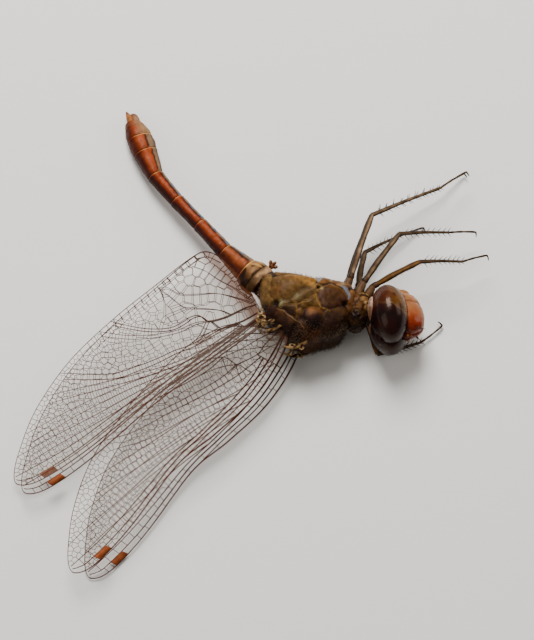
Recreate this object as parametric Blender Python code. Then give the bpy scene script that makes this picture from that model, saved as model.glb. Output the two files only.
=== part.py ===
"""A male darter dragonfly lying on its right side, as a still life-size model.

Lengths are in millimetres in this file and are turned to metres where a mesh or a place is made.
In the frame of every body piece +X points to the head, +Y to the belly and +Z to the animal's left,
so that the left side faces up when the animal lies on its right side.
"""

import math

import bmesh
import bpy
import numpy as np
from mathutils import Matrix, Vector

MM = 0.001
GAP = 0.04   # between neighbouring plates

# Driving sizes of the animal
HEAD_LENGTH = 3.5
HEAD_WIDTH = 6.5
EYE_SIZES = (HEAD_LENGTH / 2, 2.8, 1.75)
EYE_RISE = 0.55      # how far the eyes sit above the middle of the head
EYE_SPLAY = 0.1      # radians that each eye leans outwards
THORAX_HALF_WIDTH = 2.6
FOREWING_LENGTH = 28.5
HINDWING_LENGTH = 27.0
WING_THICKNESS = 0.5
FEELER_RADIUS = 0.25
THORAX_LAYERS = 12   # sections across the thorax
ABDOMEN_SIDES = 18   # points round each section of the abdomen
SIDES = (("left", 1), ("right", -1))

# Segments round and bands along the ball that each rounded piece is made from
COLLAR_BALL = (18, 12)
NECK_BALL = (14, 10)
EYE_BALL = (22, 14)
CAPSULE_BALL = (20, 14)
PLATE_BALL = (16, 10)
HOOKS_BALL = (12, 8)

# Slab that trims pieces at the floor and between the eyes
SLAB_SIZES = (200.0, 200.0, 10.0)
SLAB_DEPTH = SLAB_SIZES[2] / 2   # of its middle below the face that cuts
SHARPEST_BEND = 80.0   # in degrees, up to which a limb clears the one before it at its end

# Places of the main pieces on the floor plane, each with its heading in degrees from +X
THORAX_PLACE = (3.75, 0.55, 2.62)
THORAX_HEADING = -25.0
THORAX_ROLL = 6.0
HEAD_PLACE = (10.95, -0.05, 3.22)
HEAD_HEADING = 5.0
HEAD_ROLL = 18.0
PROTHORAX_PLACE = (8.25, 0.45, 2.75)
PROTHORAX_HEADING = -15.0

# The thorax seen from its left side: a closed outline through these points
THORAX_OUTLINE = (
    (-4.65, 1.5), (-2.8, 2.3), (-0.9, 2.8), (1.15, 3.4), (2.65, 3.6), (3.6, 2.6), (3.75, 0.7),
    (3.55, -1.05), (2.45, -2.45), (0.6, -3.6), (-1.9, -2.9), (-3.85, -1.7), (-4.95, 0.3),
)

# Half sizes and places of the pieces in front of it, each place in the frame of the piece that carries it
PROTHORAX_SIZES = (1.2, 1.95, 1.5)
NECK_PLACE = (1.25, 0.1, 0.0)
NECK_SIZES = (0.75, 0.95, 0.95)
CAPSULE_PLACE = (-0.1, 0.3, 0.0)
CAPSULE_SIZES = (1.5, 2.1, 2.2)
FACE_PLATES = {
    "frons": ((1.85, -0.95, 0.0), (1.3, 1.25, 1.5)),
    "clypeus": ((1.75, 0.75, 0.0), (1.1, 0.95, 1.55)),
    "labrum": ((1.35, 1.6, 0.0), (0.95, 0.75, 1.3)),
    "labium": ((0.35, 2.0, 0.0), (1.3, 0.6, 1.35)),
    "vertex": ((1.4, -2.3, 0.0), (0.5, 0.5, 0.6)),
}
FEELER_PATH = ((2.15, -1.95, 0.55), (2.55, -2.25, 0.8), (3.0, -2.7, 1.15))

# Wing outlines as shares of the wing's length: along the wing, and towards the trailing edge
FOREWING_OUTLINE = (
    (-0.012, 0.0), (0.1, -0.036), (0.24, -0.046), (0.4, -0.026), (0.54, 0.0), (0.78, -0.014), (0.93, -0.006), (0.99, 0.022),
    (0.985, 0.055), (0.93, 0.103), (0.83, 0.165), (0.68, 0.22), (0.5, 0.238), (0.3, 0.232),
    (0.16, 0.205), (0.07, 0.14), (0.01, 0.05),
)
HINDWING_OUTLINE = (
    (-0.015, 0.0), (0.2, -0.006), (0.46, 0.0), (0.75, -0.014), (0.92, -0.006), (0.99, 0.025),
    (0.98, 0.065), (0.92, 0.12), (0.8, 0.2), (0.62, 0.27), (0.42, 0.304), (0.22, 0.318),
    (0.08, 0.325), (0.015, 0.312), (-0.015, 0.24), (-0.02, 0.1),
)

# name: outline, length, root, heading, rise along the wing, rise towards the trailing edge
WINGS = {
    "wing_fore_right": (FOREWING_OUTLINE, FOREWING_LENGTH, (2.9, -2.05, 1.36), 231.0, -2.35, 0.0),
    "wing_hind_right": (HINDWING_OUTLINE, HINDWING_LENGTH, (-0.25, 0.15, 2.02), 216.5, -2.3, 0.0),
    "wing_hind_left": (HINDWING_OUTLINE, HINDWING_LENGTH, (0.0, -0.1, 3.0), 218.5, -3.0, 0.6),
    "wing_fore_left": (FOREWING_OUTLINE, FOREWING_LENGTH, (1.75, -2.2, 3.72), 230.5, -3.0, 0.6),
}

# Abdomen: segment length, heading, width and depth at its rear edge, swelling in the middle
ABDOMEN_START = (-0.36, 3.28, 2.66)
ABDOMEN_START_SIZE = (2.4, 3.1)
ABDOMEN_FALL = 5.2
SEGMENTS = (
    (0.7, 137.0, 2.55, 3.3, 0.02),
    (1.31, 136.7, 2.15, 2.55, 0.14),
    (2.8, 135.0, 1.55, 1.65, 0.03),
    (3.7, 130.0, 1.4, 1.45, 0.02),
    (3.35, 131.0, 1.4, 1.45, 0.0),
    (3.3, 128.0, 1.55, 1.6, 0.0),
    (2.65, 115.0, 2.0, 2.05, 0.03),
    (1.65, 112.0, 1.95, 2.05, 0.06),
    (1.15, 108.0, 1.6, 1.8, 0.08),
    (0.75, 108.0, 1.15, 1.4, 0.05),
)

RING_SHARES = (0.0, 0.08, 0.35, 0.65, 0.92, 1.0)   # where a segment's sections are, along it
END_NARROWING = 0.93    # of its first and last section
BELLY_FLATTENING = 0.92
SEGMENTS_TO_CLEAR = 4   # front ones, which the wings and the hooks lie against

# Tail pieces and the hooks under the second segment. Distances along the segment, then towards the belly
TAIL_LEAN = 20.0        # heading in which the tail's underside looks, in degrees
CERCUS_APART = 0.27
CERCUS_PATH = ((GAP, -0.12), (0.65 + GAP, -0.17), (1.2 + GAP, -0.02))
CERCUS_RADII = (0.25, 0.25, 0.16)
EPIPROCT_PATH = ((GAP, 0.34), (0.75 + GAP, 0.34))
EPIPROCT_RADII = (0.24, 0.14)
HAMULES_PLACE = (-0.1, 1.89)
HAMULES_SIZES = (0.6, 0.5, 0.42)

# Legs: root on the body, then femur, tibia and tarsus as (length, heading, rise)
LEGS = {
    "leg_hind_left": ((7.55, 3.42, 3.4), (6.4, 71, 8), (7.25, 26, -8), (3.1, 38, -15)),
    "leg_mid_left": ((8.75, 3.1, 3.35), (5.7, 54, 6), (4.75, 6, -11), (2.55, 8, -18)),
    "leg_fore_left": ((9.6, 2.75, 3.35), (4.85, 27, 7), (4.0, 4, -10), (2.45, 20, -14)),
    "leg_hind_right": ((7.25, 3.45, 1.9), (6.96, 70, 8.3), (7.45, 27.5, -12.4), (3.12, 38.2, -15.8)),
    "leg_mid_right": ((8.3, 3.1, 1.95), (3.65, 79, -1), (4.1, 31, -14), (2.4, 26, -16)),
    "leg_fore_right": ((8.78, 2.3, 0.85), (5.22, -75.5, -4.5), (4.15, 16, 0), (2.46, 40, -2)),
}
FEMUR_RADII = (0.36, 0.36, 0.3)
TIBIA_RADII = (0.28, 0.26, 0.25)
COXA_LENGTH = 1.3
COXA_RADII = (0.47, 0.47, 0.38)


def removeEverything():
    for item in list(bpy.data.objects):
        bpy.data.objects.remove(item)


def collection(name):
    made = bpy.data.collections.new(name)
    bpy.context.scene.collection.children.link(made)
    return made


def material(name, colour, roughness, metallic=0.0):
    made = bpy.data.materials.new(name)
    made.use_nodes = True
    shader = made.node_tree.nodes["Principled BSDF"]
    shader.inputs["Base Color"].default_value = (*colour, 1.0)
    shader.inputs["Roughness"].default_value = roughness
    shader.inputs["Metallic"].default_value = metallic
    return made


def direction(heading, rise=0.0):
    """Unit vector from a heading on the floor and a rise above it, both in degrees."""
    turn, lift = math.radians(heading), math.radians(rise)
    return Vector((math.cos(lift) * math.cos(turn), math.cos(lift) * math.sin(turn), math.sin(lift)))


def frameAt(place, along, towards):
    """Matrix at a place, with X along one direction and Y as near as it can be to another."""
    x = Vector(along).normalized()
    y = Vector(towards)
    y = (y - x * y.dot(x)).normalized()
    frame = Matrix((x, y, x.cross(y))).transposed().to_4x4()
    frame.translation = Vector(place)
    return frame


def rolledFrame(place, heading, roll):
    """Frame of a body piece: X forward, Y to the belly, Z left, with the back lifted by the roll."""
    level = frameAt(place, direction(heading), direction(heading + 90))
    return level @ Matrix.Rotation(math.radians(-roll), 4, "X")


def addObject(name, data, frame, look, group):
    made = bpy.data.objects.new(name, data)
    group.objects.link(made)
    made.parent = bodyRoot
    made.location = frame.translation * MM
    made.rotation_euler = frame.to_euler()
    if look:
        data.materials.append(look)
    return made


def meshFrom(name, points, faces):
    mesh = bpy.data.meshes.new(name)
    mesh.from_pydata([tuple(float(v) * MM for v in p) for p in points], [], faces)
    shaped = bmesh.new()
    shaped.from_mesh(mesh)
    bmesh.ops.recalc_face_normals(shaped, faces=shaped.faces)
    shaped.to_mesh(mesh)
    shaped.free()
    mesh.shade_smooth()
    return mesh


def lofted(name, rings):
    """Closed loft through rings of equal numbers of points."""
    sides = len(rings[0])
    points = [p for ring in rings for p in ring]
    faces = []
    for row in range(len(rings) - 1):
        for i in range(sides):
            j = (i + 1) % sides
            faces.append((row * sides + i, row * sides + j, (row + 1) * sides + j, (row + 1) * sides + i))
    faces.append(tuple(range(sides)))
    faces.append(tuple((len(rings) - 1) * sides + i for i in range(sides)))
    return meshFrom(name, points, faces)


def smoothLoop(corners, count):
    """Closed curve of count points through the corners, each span a Catmull-Rom cubic."""
    corners = np.array(corners, float)
    spans = len(corners)
    place = np.arange(count) * spans / count
    first = place.astype(int)
    t = (place - first)[:, None]
    a, b, c, d = (corners[(first + k) % spans] for k in (-1, 0, 1, 2))
    return 0.5 * (2 * b + (c - a) * t + (2 * a - 5 * b + 4 * c - d) * t**2 + (3 * b - a - 3 * c + d) * t**3)


def pillow(name, outline, halfWidth, layers, squareness=0.62):
    """Side outline carried across the width, drawn in towards each cheek by a superellipse."""
    middle = outline.mean(axis=0)
    rings = []
    for step in range(1, layers):
        turn = math.pi * (step / layers - 0.5)
        size = math.cos(turn) ** squareness
        width = halfWidth * math.copysign(abs(math.sin(turn)) ** squareness, turn)
        rings.append([(*(middle + (p - middle) * size), width) for p in outline])
    return lofted(name, rings)


def ellipsoid(name, sizes, ballFaces):
    ball = bmesh.new()
    segments, bands = ballFaces
    bmesh.ops.create_uvsphere(ball, u_segments=segments, v_segments=bands, radius=MM)
    bmesh.ops.scale(ball, vec=sizes, verts=ball.verts)
    mesh = bpy.data.meshes.new(name)
    ball.to_mesh(mesh)
    ball.free()
    mesh.shade_smooth()
    return mesh


def grownBy(sizes, margin=GAP):
    return tuple(size + margin for size in sizes)


def tube(name, points, radii, look):
    """Round limb along points given in the body's space, its origin at the first of them."""
    along = Vector(points[1]) - Vector(points[0])
    frame = frameAt(points[0], along, Vector((0, 0, 1)))
    back = frame.inverted()
    curve = bpy.data.curves.new(name, "CURVE")
    curve.dimensions = "3D"
    curve.bevel_depth = MM
    curve.bevel_resolution = 1
    curve.use_fill_caps = True
    spline = curve.splines.new("POLY")
    spline.points.add(len(points) - 1)
    for knot, point, radius in zip(spline.points, points, radii):
        knot.co = (*(back @ Vector(point) * MM), 1.0)
        knot.radius = radius
    return addObject(name, curve, frame, look, parts)


def asMesh(item):
    """The same piece as a mesh with its caps welded, so that a Boolean can cut it."""
    bpy.context.view_layer.update()
    mesh = bpy.data.meshes.new_from_object(item.evaluated_get(bpy.context.evaluated_depsgraph_get()))
    welded = bmesh.new()
    welded.from_mesh(mesh)
    bmesh.ops.remove_doubles(welded, verts=welded.verts, dist=1e-6)
    bmesh.ops.recalc_face_normals(welded, faces=welded.faces)
    welded.to_mesh(mesh)
    welded.free()
    name = item.name
    made = bpy.data.objects.new(name + "_cut", mesh)
    item.users_collection[0].objects.link(made)
    made.parent = item.parent
    made.location = item.location
    made.rotation_euler = item.rotation_euler
    bpy.data.objects.remove(item)
    made.name = name
    return made


def cutter(name, data, frame):
    made = addObject(name, data, frame, None, cutters)
    made.hide_render = True
    made.display_type = "WIRE"
    return made


def cut(item, *tools):
    for tool in tools:
        step = item.modifiers.new("clear of " + tool.name, "BOOLEAN")
        step.operation = "DIFFERENCE"
        step.object = tool
    return item


def makeThorax(look):
    frame = rolledFrame(THORAX_PLACE, THORAX_HEADING, THORAX_ROLL)
    outline = smoothLoop(THORAX_OUTLINE, 2 * len(THORAX_OUTLINE))
    cut(addObject("thorax", pillow("thorax", outline, THORAX_HALF_WIDTH, THORAX_LAYERS), frame, look, parts), floor)
    middle = outline.mean(axis=0)
    reach = np.linalg.norm(outline - middle, axis=1, keepdims=True)
    grown = middle + (outline - middle) * (1 + GAP / reach)
    return cutter("thorax_clearance", pillow("clearance", grown, THORAX_HALF_WIDTH + GAP, THORAX_LAYERS), frame)


def makeProthorax(look, thoraxClearance):
    frame = rolledFrame(PROTHORAX_PLACE, PROTHORAX_HEADING, THORAX_ROLL)
    collar = addObject("prothorax", ellipsoid("prothorax", PROTHORAX_SIZES, COLLAR_BALL), frame, look, parts)
    cut(collar, thoraxClearance)
    clearance = cutter("prothorax_clearance", ellipsoid("clearance", grownBy(PROTHORAX_SIZES), COLLAR_BALL), frame)
    neck = frame @ Matrix.Translation(NECK_PLACE)
    return clearance, addObject("neck", ellipsoid("neck", NECK_SIZES, NECK_BALL), neck, look, parts)


def makeHead(looks, neck, prothoraxClearance):
    frame = rolledFrame(HEAD_PLACE, HEAD_HEADING, HEAD_ROLL)
    reach = HEAD_WIDTH / 2 - EYE_SIZES[2]
    eyeClearances = []
    for side, sign in SIDES:
        place = frame @ Matrix.Translation((0, -EYE_RISE, sign * reach)) @ Matrix.Rotation(sign * EYE_SPLAY, 4, "X")
        eye = addObject("eye_" + side, ellipsoid("eye", EYE_SIZES, EYE_BALL), place, looks["eye"], parts)
        cut(eye, halves[sign], floor)
        grown = ellipsoid("clearance", grownBy(EYE_SIZES), EYE_BALL)
        eyeClearances.append(cutter("eye_clearance_" + side, grown, place))
    capsule = frame @ Matrix.Translation(CAPSULE_PLACE)
    head = addObject("head", ellipsoid("head", CAPSULE_SIZES, CAPSULE_BALL), capsule, looks["capsule"], parts)
    cut(head, prothoraxClearance, *eyeClearances)
    headClearance = cutter("head_clearance", ellipsoid("clearance", grownBy(CAPSULE_SIZES), CAPSULE_BALL), capsule)
    cut(neck, prothoraxClearance, headClearance, *eyeClearances)
    earlier = [*eyeClearances, headClearance]
    for name, (place, sizes) in FACE_PLATES.items():
        spot = frame @ Matrix.Translation(place)
        look = looks["mouth" if name in ("labrum", "labium") else "face"]
        cut(addObject(name, ellipsoid(name, sizes, PLATE_BALL), spot, look, parts), *earlier)
        earlier.append(cutter(name + "_clearance", ellipsoid("clearance", grownBy(sizes), PLATE_BALL), spot))
    for side, sign in SIDES:
        points = [frame @ Vector((x, y, z * sign)) for x, y, z in FEELER_PATH]
        feeler = asMesh(tube("antenna_" + side, points, (FEELER_RADIUS,) * 3, looks["leg"]))
        cut(feeler, *earlier)
    return eyeClearances


def abdomenStations():
    """Joint places with their directions, from the thorax to the tail."""
    place, joints, axes = Vector(ABDOMEN_START), [Vector(ABDOMEN_START)], []
    for length, heading, *_ in SEGMENTS:
        axis = direction(heading, -ABDOMEN_FALL)
        axes.append(axis)
        place = place + axis * length
        joints.append(place)
    ends = [axes[0]] + [(a + b).normalized() for a, b in zip(axes, axes[1:])] + [axes[-1]]
    return joints, axes, ends


def bodyRing(place, axis, width, depth):
    """Section of the abdomen: an ellipse whose belly side is a little flatter than its back."""
    frame = frameAt(place, -axis, direction(math.degrees(math.atan2(axis.y, axis.x)) - 90))
    ring = []
    for k in range(ABDOMEN_SIDES):
        turn = 2 * math.pi * k / ABDOMEN_SIDES
        rise = math.cos(turn) * depth / 2
        flat = BELLY_FLATTENING if rise > 0 else 1.0
        ring.append(frame @ Vector((0, rise * flat, math.sin(turn) * width / 2)))
    return ring


def makeAbdomen(look, tip, thoraxClearance):
    joints, axes, ends = abdomenStations()
    sizes = [ABDOMEN_START_SIZE] + [(w, d) for _, _, w, d, _ in SEGMENTS]
    clearances = []
    for k, (length, _, _, _, swelling) in enumerate(SEGMENTS):
        rings, grown = [], []
        for share in RING_SHARES:
            inset = GAP / 2 / length
            at = inset + share * (1 - 2 * inset)
            place = joints[k].lerp(joints[k + 1], at)
            axis = ends[k].lerp(ends[k + 1], at).normalized()
            swell = swelling * math.sin(math.pi * at) ** 0.8
            rim = END_NARROWING if share in (0.0, 1.0) else 1.0
            width = rim * (sizes[k][0] + (sizes[k + 1][0] - sizes[k][0]) * at + 2 * swell)
            depth = rim * (sizes[k][1] + (sizes[k + 1][1] - sizes[k][1]) * at + 2 * swell)
            rings.append(bodyRing(place, axis, width, depth))
            grown.append(bodyRing(place, axis, width + 2 * GAP, depth + 2 * GAP))
        frame = frameAt(joints[k], axes[k], direction(0))
        back = frame.inverted()
        name = f"abdomen_{k + 1:02d}"
        mesh = lofted(name, [[back @ p for p in ring] for ring in rings])
        segment = addObject(name, mesh, frame, look, parts)
        cut(segment, thoraxClearance if k == 0 else floor)
        if k < SEGMENTS_TO_CLEAR:
            mesh = lofted("clearance", [[back @ p for p in ring] for ring in grown])
            clearances.append(cutter(name + "_clearance", mesh, frame))
    tail, axis, under = joints[-1], axes[-1], direction(TAIL_LEAN)
    for side, sign in SIDES:
        points = [tail + axis * on + under * down + Vector((0, 0, sign * CERCUS_APART)) for on, down in CERCUS_PATH]
        cut(asMesh(tube("cercus_" + side, points, CERCUS_RADII, tip)), floor)
    tube("epiproct", [tail + axis * on + under * down for on, down in EPIPROCT_PATH], EPIPROCT_RADII, tip)
    on, down = HAMULES_PLACE
    place = joints[1] + axes[1] * on + axes[1].cross(Vector((0, 0, 1))) * down
    frame = frameAt(place, axes[1], Vector((0, 0, 1)))
    hamules = addObject("hamules", ellipsoid("hamules", HAMULES_SIZES, HOOKS_BALL), frame, tip, parts)
    cut(hamules, thoraxClearance, *clearances[:2])
    return clearances


def makeWings(look, clear):
    for name, (outline, length, root, heading, rise, trailRise) in WINGS.items():
        frame = frameAt(root, direction(heading, rise), direction(heading - 90, trailRise))
        curve = bpy.data.curves.new(name, "CURVE")
        curve.dimensions = "2D"
        curve.fill_mode = "BOTH"
        curve.extrude = WING_THICKNESS / 2 * MM
        curve.resolution_u = 2
        spline = curve.splines.new("BEZIER")
        spline.bezier_points.add(len(outline) - 1)
        spline.use_cyclic_u = True
        for knot, (along, trail) in zip(spline.bezier_points, outline):
            knot.co = (along * length * MM, trail * length * MM, 0.0)
            knot.handle_left_type = knot.handle_right_type = "AUTO"
        wing = asMesh(addObject(name, curve, frame, look, parts))
        cut(wing, *clear, floor)


def clearStart(bend, oldRadius, newRadius):
    """How far from a bent joint a limb starts, to clear the end of the limb before it."""
    pastEnd = newRadius * math.tan(bend) if bend < math.radians(SHARPEST_BEND) else math.inf
    beside = (oldRadius + newRadius * abs(math.cos(bend))) / max(math.sin(bend), 0.01)
    return min(pastEnd, beside) + GAP


def makeLegs(look, thoraxClearance, prothoraxClearance, eyeClearances):
    for name, (root, *bones) in LEGS.items():
        place = Vector(root)
        inward = -direction(THORAX_HEADING + 90)
        if "fore" in name:
            inward = (Vector(PROTHORAX_PLACE) - place).normalized()
        coxa = [place + inward * COXA_LENGTH, place + inward * COXA_LENGTH / 2, place]
        hip = asMesh(tube(name + "_coxa", coxa, COXA_RADII, look))
        cut(hip, thoraxClearance, prothoraxClearance)
        radii = (FEMUR_RADII, TIBIA_RADII, (FEELER_RADIUS,) * 3)
        before, beforeRadius = -inward, COXA_RADII[-1]
        for bone, (length, heading, rise), sizes in zip(("femur", "tibia", "tarsus"), bones, radii):
            axis = direction(heading, rise)
            start = place + axis * clearStart(before.angle(axis), beforeRadius, sizes[0])
            end = place + axis * length
            limb = asMesh(tube(f"{name}_{bone}", [start, (start + end) / 2, end], sizes, look))
            cut(limb, floor, *(eyeClearances if "fore_right" in name else ()))
            place, before, beforeRadius = end, axis, sizes[-1]


def centreOnOrigin():
    """Moves the whole animal so that the middle of its footprint is over the origin."""
    bpy.context.view_layer.update()
    graph = bpy.context.evaluated_depsgraph_get()
    corners = []
    for item in parts.objects:
        seen = item.evaluated_get(graph)
        corners += [seen.matrix_world @ v.co for v in seen.to_mesh().vertices]
        seen.to_mesh_clear()
    corners = np.array(corners)
    middle = (corners.min(axis=0) + corners.max(axis=0)) / 2
    bodyRoot.location = (-middle[0], -middle[1], 0.0)
    print(f"footprint moved by {-middle[0] / MM:.4f}, {-middle[1] / MM:.4f} mm")


removeEverything()
parts = collection("dragonfly")
cutters = collection("cutters")
bodyRoot = bpy.data.objects.new("body_root", None)
cutters.objects.link(bodyRoot)

eyeLook = material("compound eye", (0.12, 0.02, 0.01), 0.25)
faceLook = material("red face shell", (0.45, 0.07, 0.02), 0.3)
thoraxLook = material("thorax shell", (0.14, 0.08, 0.03), 0.4)
abdomenLook = material("abdomen shell", (0.4, 0.09, 0.02), 0.35)
legLook = material("leg shell", (0.05, 0.03, 0.015), 0.4)
wingLook = material("wing", (0.6, 0.45, 0.35), 0.3)
tipLook = material("dark shell", (0.1, 0.03, 0.01), 0.4)

slab = bmesh.new()
bmesh.ops.create_cube(slab, size=1.0, matrix=Matrix.Diagonal((*(size * MM for size in SLAB_SIZES), 1.0)))
floorMesh = bpy.data.meshes.new("floor")
slab.to_mesh(floorMesh)
floor = cutter("floor_cutter", floorMesh, Matrix.Translation((0, 0, -SLAB_DEPTH)))
headFrame = rolledFrame(HEAD_PLACE, HEAD_HEADING, HEAD_ROLL)
halves = {}
for sign in (1, -1):
    away = headFrame @ Matrix.Translation((0, 0, -sign * (SLAB_DEPTH - GAP / 2)))
    halves[sign] = cutter(f"head_half_{'left' if sign > 0 else 'right'}", floorMesh.copy(), away)
slab.free()

thoraxClear = makeThorax(thoraxLook)
prothoraxClear, neckPiece = makeProthorax(thoraxLook, thoraxClear)
headLooks = {"eye": eyeLook, "face": faceLook, "mouth": tipLook, "capsule": thoraxLook, "leg": legLook}
eyesClear = makeHead(headLooks, neckPiece, prothoraxClear)
abdomenClear = makeAbdomen(abdomenLook, tipLook, thoraxClear)
makeWings(wingLook, [thoraxClear, *abdomenClear])
makeLegs(legLook, thoraxClear, prothoraxClear, eyesClear)
centreOnOrigin()
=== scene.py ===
import math
import bpy
import numpy as np
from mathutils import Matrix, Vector
from mathutils.geometry import delaunay_2d_cdt


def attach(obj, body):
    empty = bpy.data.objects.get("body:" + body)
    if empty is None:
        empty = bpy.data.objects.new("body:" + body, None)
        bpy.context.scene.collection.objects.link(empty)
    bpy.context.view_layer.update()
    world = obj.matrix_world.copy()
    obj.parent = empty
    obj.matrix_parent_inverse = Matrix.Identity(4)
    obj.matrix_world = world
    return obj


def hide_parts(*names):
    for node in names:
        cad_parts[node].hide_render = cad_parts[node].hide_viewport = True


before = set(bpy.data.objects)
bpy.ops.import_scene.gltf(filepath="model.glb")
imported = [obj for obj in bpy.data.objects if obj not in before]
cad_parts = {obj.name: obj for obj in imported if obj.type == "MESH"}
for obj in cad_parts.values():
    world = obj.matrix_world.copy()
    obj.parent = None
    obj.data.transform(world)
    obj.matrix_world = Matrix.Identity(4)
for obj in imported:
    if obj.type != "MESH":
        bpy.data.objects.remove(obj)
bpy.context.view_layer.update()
mm = 0.001  # every shape below is worked out in millimetres

# where the animal lies: places on the floor with headings in degrees, as in the solids
pose = {
    "footprintShift": (1.2, 1.0617, 0.0),
    "thoraxPlace": (3.75, 0.55, 2.62), "thoraxHeading": -25.0, "thoraxRoll": 6.0,
    "prothoraxPlace": (8.25, 0.45, 2.75), "prothoraxHeading": -15.0,
    "headPlace": (10.95, -0.05, 3.22), "headHeading": 5.0, "headRoll": 18.0,
}


def direction(heading, rise=0.0):
    # unit vector from a heading on the floor and a rise above it
    turn, lift = math.radians(heading), math.radians(rise)
    return np.array([math.cos(lift) * math.cos(turn), math.cos(lift) * math.sin(turn), math.sin(lift)])


def frameAt(place, along, towards):
    # axes x, y, z as rows with their origin: x along one direction, y as near as it can be to another
    x = np.array(along, float) / np.linalg.norm(along)
    y = np.array(towards, float)
    y = y - x * (y @ x)
    y = y / np.linalg.norm(y)
    return np.array(place, float), np.array([x, y, np.cross(x, y)])


def rolledFrame(place, heading, roll):
    # frame of a body piece: x forward, y to the belly, z to the left, the back lifted by the roll
    origin, (x, y, z) = frameAt(place, direction(heading), direction(heading + 90))
    turn = math.radians(-roll)
    c, s = math.cos(turn), math.sin(turn)
    return origin, np.array([x, y * c + z * s, z * c - y * s])


def toFloor(where, points):
    # local millimetres to the floor's millimetres: origin plus each coordinate times its axis
    origin, axes = where
    return np.asarray(points, float) @ axes + origin


thoraxFrame = rolledFrame(pose["thoraxPlace"], pose["thoraxHeading"], pose["thoraxRoll"])
prothoraxFrame = rolledFrame(pose["prothoraxPlace"], pose["prothoraxHeading"], pose["thoraxRoll"])
headFrame = rolledFrame(pose["headPlace"], pose["headHeading"], pose["headRoll"])


def colour(code):
    # sRGB hex to linear: (c + 0.055) / 1.055 to the power 2.4, straight below 0.04
    c = np.array([int(code[i:i + 2], 16) for i in (1, 3, 5)]) / 255
    return np.where(c < 0.04045, c / 12.92, ((c + 0.055) / 1.055) ** 2.4)


def signedPower(value, power):
    # the power of the value's size, with the value's own sign
    return np.sign(value) * np.abs(value) ** power


def smooth(low, high, value):
    # soft step: 3t^2 - 2t^3 between two limits
    t = np.clip((value - low) / (high - low), 0, 1)
    return t * t * (3 - 2 * t)


def blend(first, second, share):
    # first * (1 - share) + second * share, for colours in the last axis
    share = np.asarray(share)[..., None]
    return first * (1 - share) + second * share


def onPlane(x, y):
    # flat places as points with no height
    return np.stack([x, y, np.zeros_like(x)], -1)


def ripple(points, size, seed, waves=9):
    # smooth noise between about -1 and 1: a mean of sine waves of one length in seeded directions
    rng = np.random.default_rng(seed)
    ways = rng.normal(size=(waves, 3))
    stretch = 2 * math.pi / size * rng.uniform(0.6, 1.5, (waves, 1))
    ways *= stretch / np.linalg.norm(ways, axis=1, keepdims=True)
    phase = rng.uniform(0, 2 * math.pi, waves)
    return np.sin(np.asarray(points) @ ways.T + phase).sum(-1) / math.sqrt(waves)


def added(start, points, waves):
    # start plus a sum of ripples, each with its height, size and seed
    return sum((height * ripple(points, size, seed) for height, size, seed in waves), start)


def bell(value, width):
    # 1 where the value is 0, falling to 1/e at the width: exp(-(value / width)^2)
    return np.exp(-(value / width) ** 2)


def unit(vectors):
    # each vector of the last axis over its own length
    return vectors / (np.linalg.norm(vectors, axis=-1, keepdims=True) + 1e-12)


def runLength(path):
    # length of a path from its start to each of its points
    return np.concatenate([[0], np.cumsum(np.linalg.norm(np.diff(path, axis=0), axis=1))])


def cubic(a, b, c, d, t):
    # Catmull-Rom span from b to c: half of 2b + (c - a)t + (2a - 5b + 4c - d)t^2 + (3b - a - 3c + d)t^3
    return 0.5 * (2 * b + (c - a) * t + (2 * a - 5 * b + 4 * c - d) * t**2 + (3 * b - a - 3 * c + d) * t**3)


def smoothLoop(corners, count):
    # closed curve through the corners, each span a cubic
    corners = np.array(corners, float)
    spans = len(corners)
    place = np.arange(count) * spans / count
    first = place.astype(int)
    t = (place - first)[:, None]
    return cubic(*(corners[(first + k) % spans] for k in (-1, 0, 1, 2)), t)


def alongPath(at, run, path):
    # the path's points where its running length is at
    return np.stack([np.interp(at, run, path[:, k]) for k in range(path.shape[1])], axis=1)


def smoothPath(corners, count):
    # open curve of evenly spread points through the corners, by the same cubic with its ends held
    corners = np.array(corners, float)
    ends = np.vstack([2 * corners[0] - corners[1], corners, 2 * corners[-1] - corners[-2]])
    place = np.linspace(0, len(corners) - 1 - 1e-9, count * 8)
    first = place.astype(int)
    fine = cubic(*(ends[first + k] for k in range(4)), (place - first)[:, None])
    run = runLength(fine)
    at = np.linspace(0, run[-1], count)
    return alongPath(at, run, fine)


def intoScene(name, data):
    # an object with this mesh, lamp or camera, at the origin
    made = bpy.data.objects.new(name, data)
    bpy.context.scene.collection.objects.link(made)
    return made


def makeMesh(name, points, faces, look, tint, uv, uvName="UVMap"):
    # puts whole arrays into a mesh: points in floor millimetres, faces as a list of equal-sided arrays
    faces = [np.asarray(f, np.int32) for f in faces if len(f)]
    points = (np.asarray(points, float).reshape(-1, 3) + np.array(pose["footprintShift"])) * mm
    points[:, 2] = np.maximum(points[:, 2], 0.0)
    mesh = bpy.data.meshes.new(name)
    mesh.vertices.add(len(points))
    mesh.vertices.foreach_set("co", points.astype(np.float32).ravel())
    corners = np.concatenate([f.ravel() for f in faces])
    sides = np.concatenate([np.full(len(f), f.shape[1], np.int32) for f in faces])
    mesh.loops.add(len(corners))
    mesh.loops.foreach_set("vertex_index", corners)
    mesh.polygons.add(len(sides))
    mesh.polygons.foreach_set("loop_start", np.concatenate([[0], np.cumsum(sides)[:-1]]).astype(np.int32))
    mesh.update(calc_edges=True)
    mesh.polygons.foreach_set("use_smooth", np.ones(len(sides), bool))
    shade = mesh.color_attributes.new("tint", "FLOAT_COLOR", "POINT")
    tint = np.asarray(tint, float).reshape(-1, 3)
    shade.data.foreach_set("color", np.column_stack([tint, np.ones(len(tint))]).astype(np.float32).ravel())
    layer = mesh.uv_layers.new(name=uvName)
    layer.data.foreach_set("uv", np.asarray(uv, np.float32).reshape(-1, 2)[corners].ravel())
    mesh.materials.append(look)
    return intoScene(name, mesh)


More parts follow.
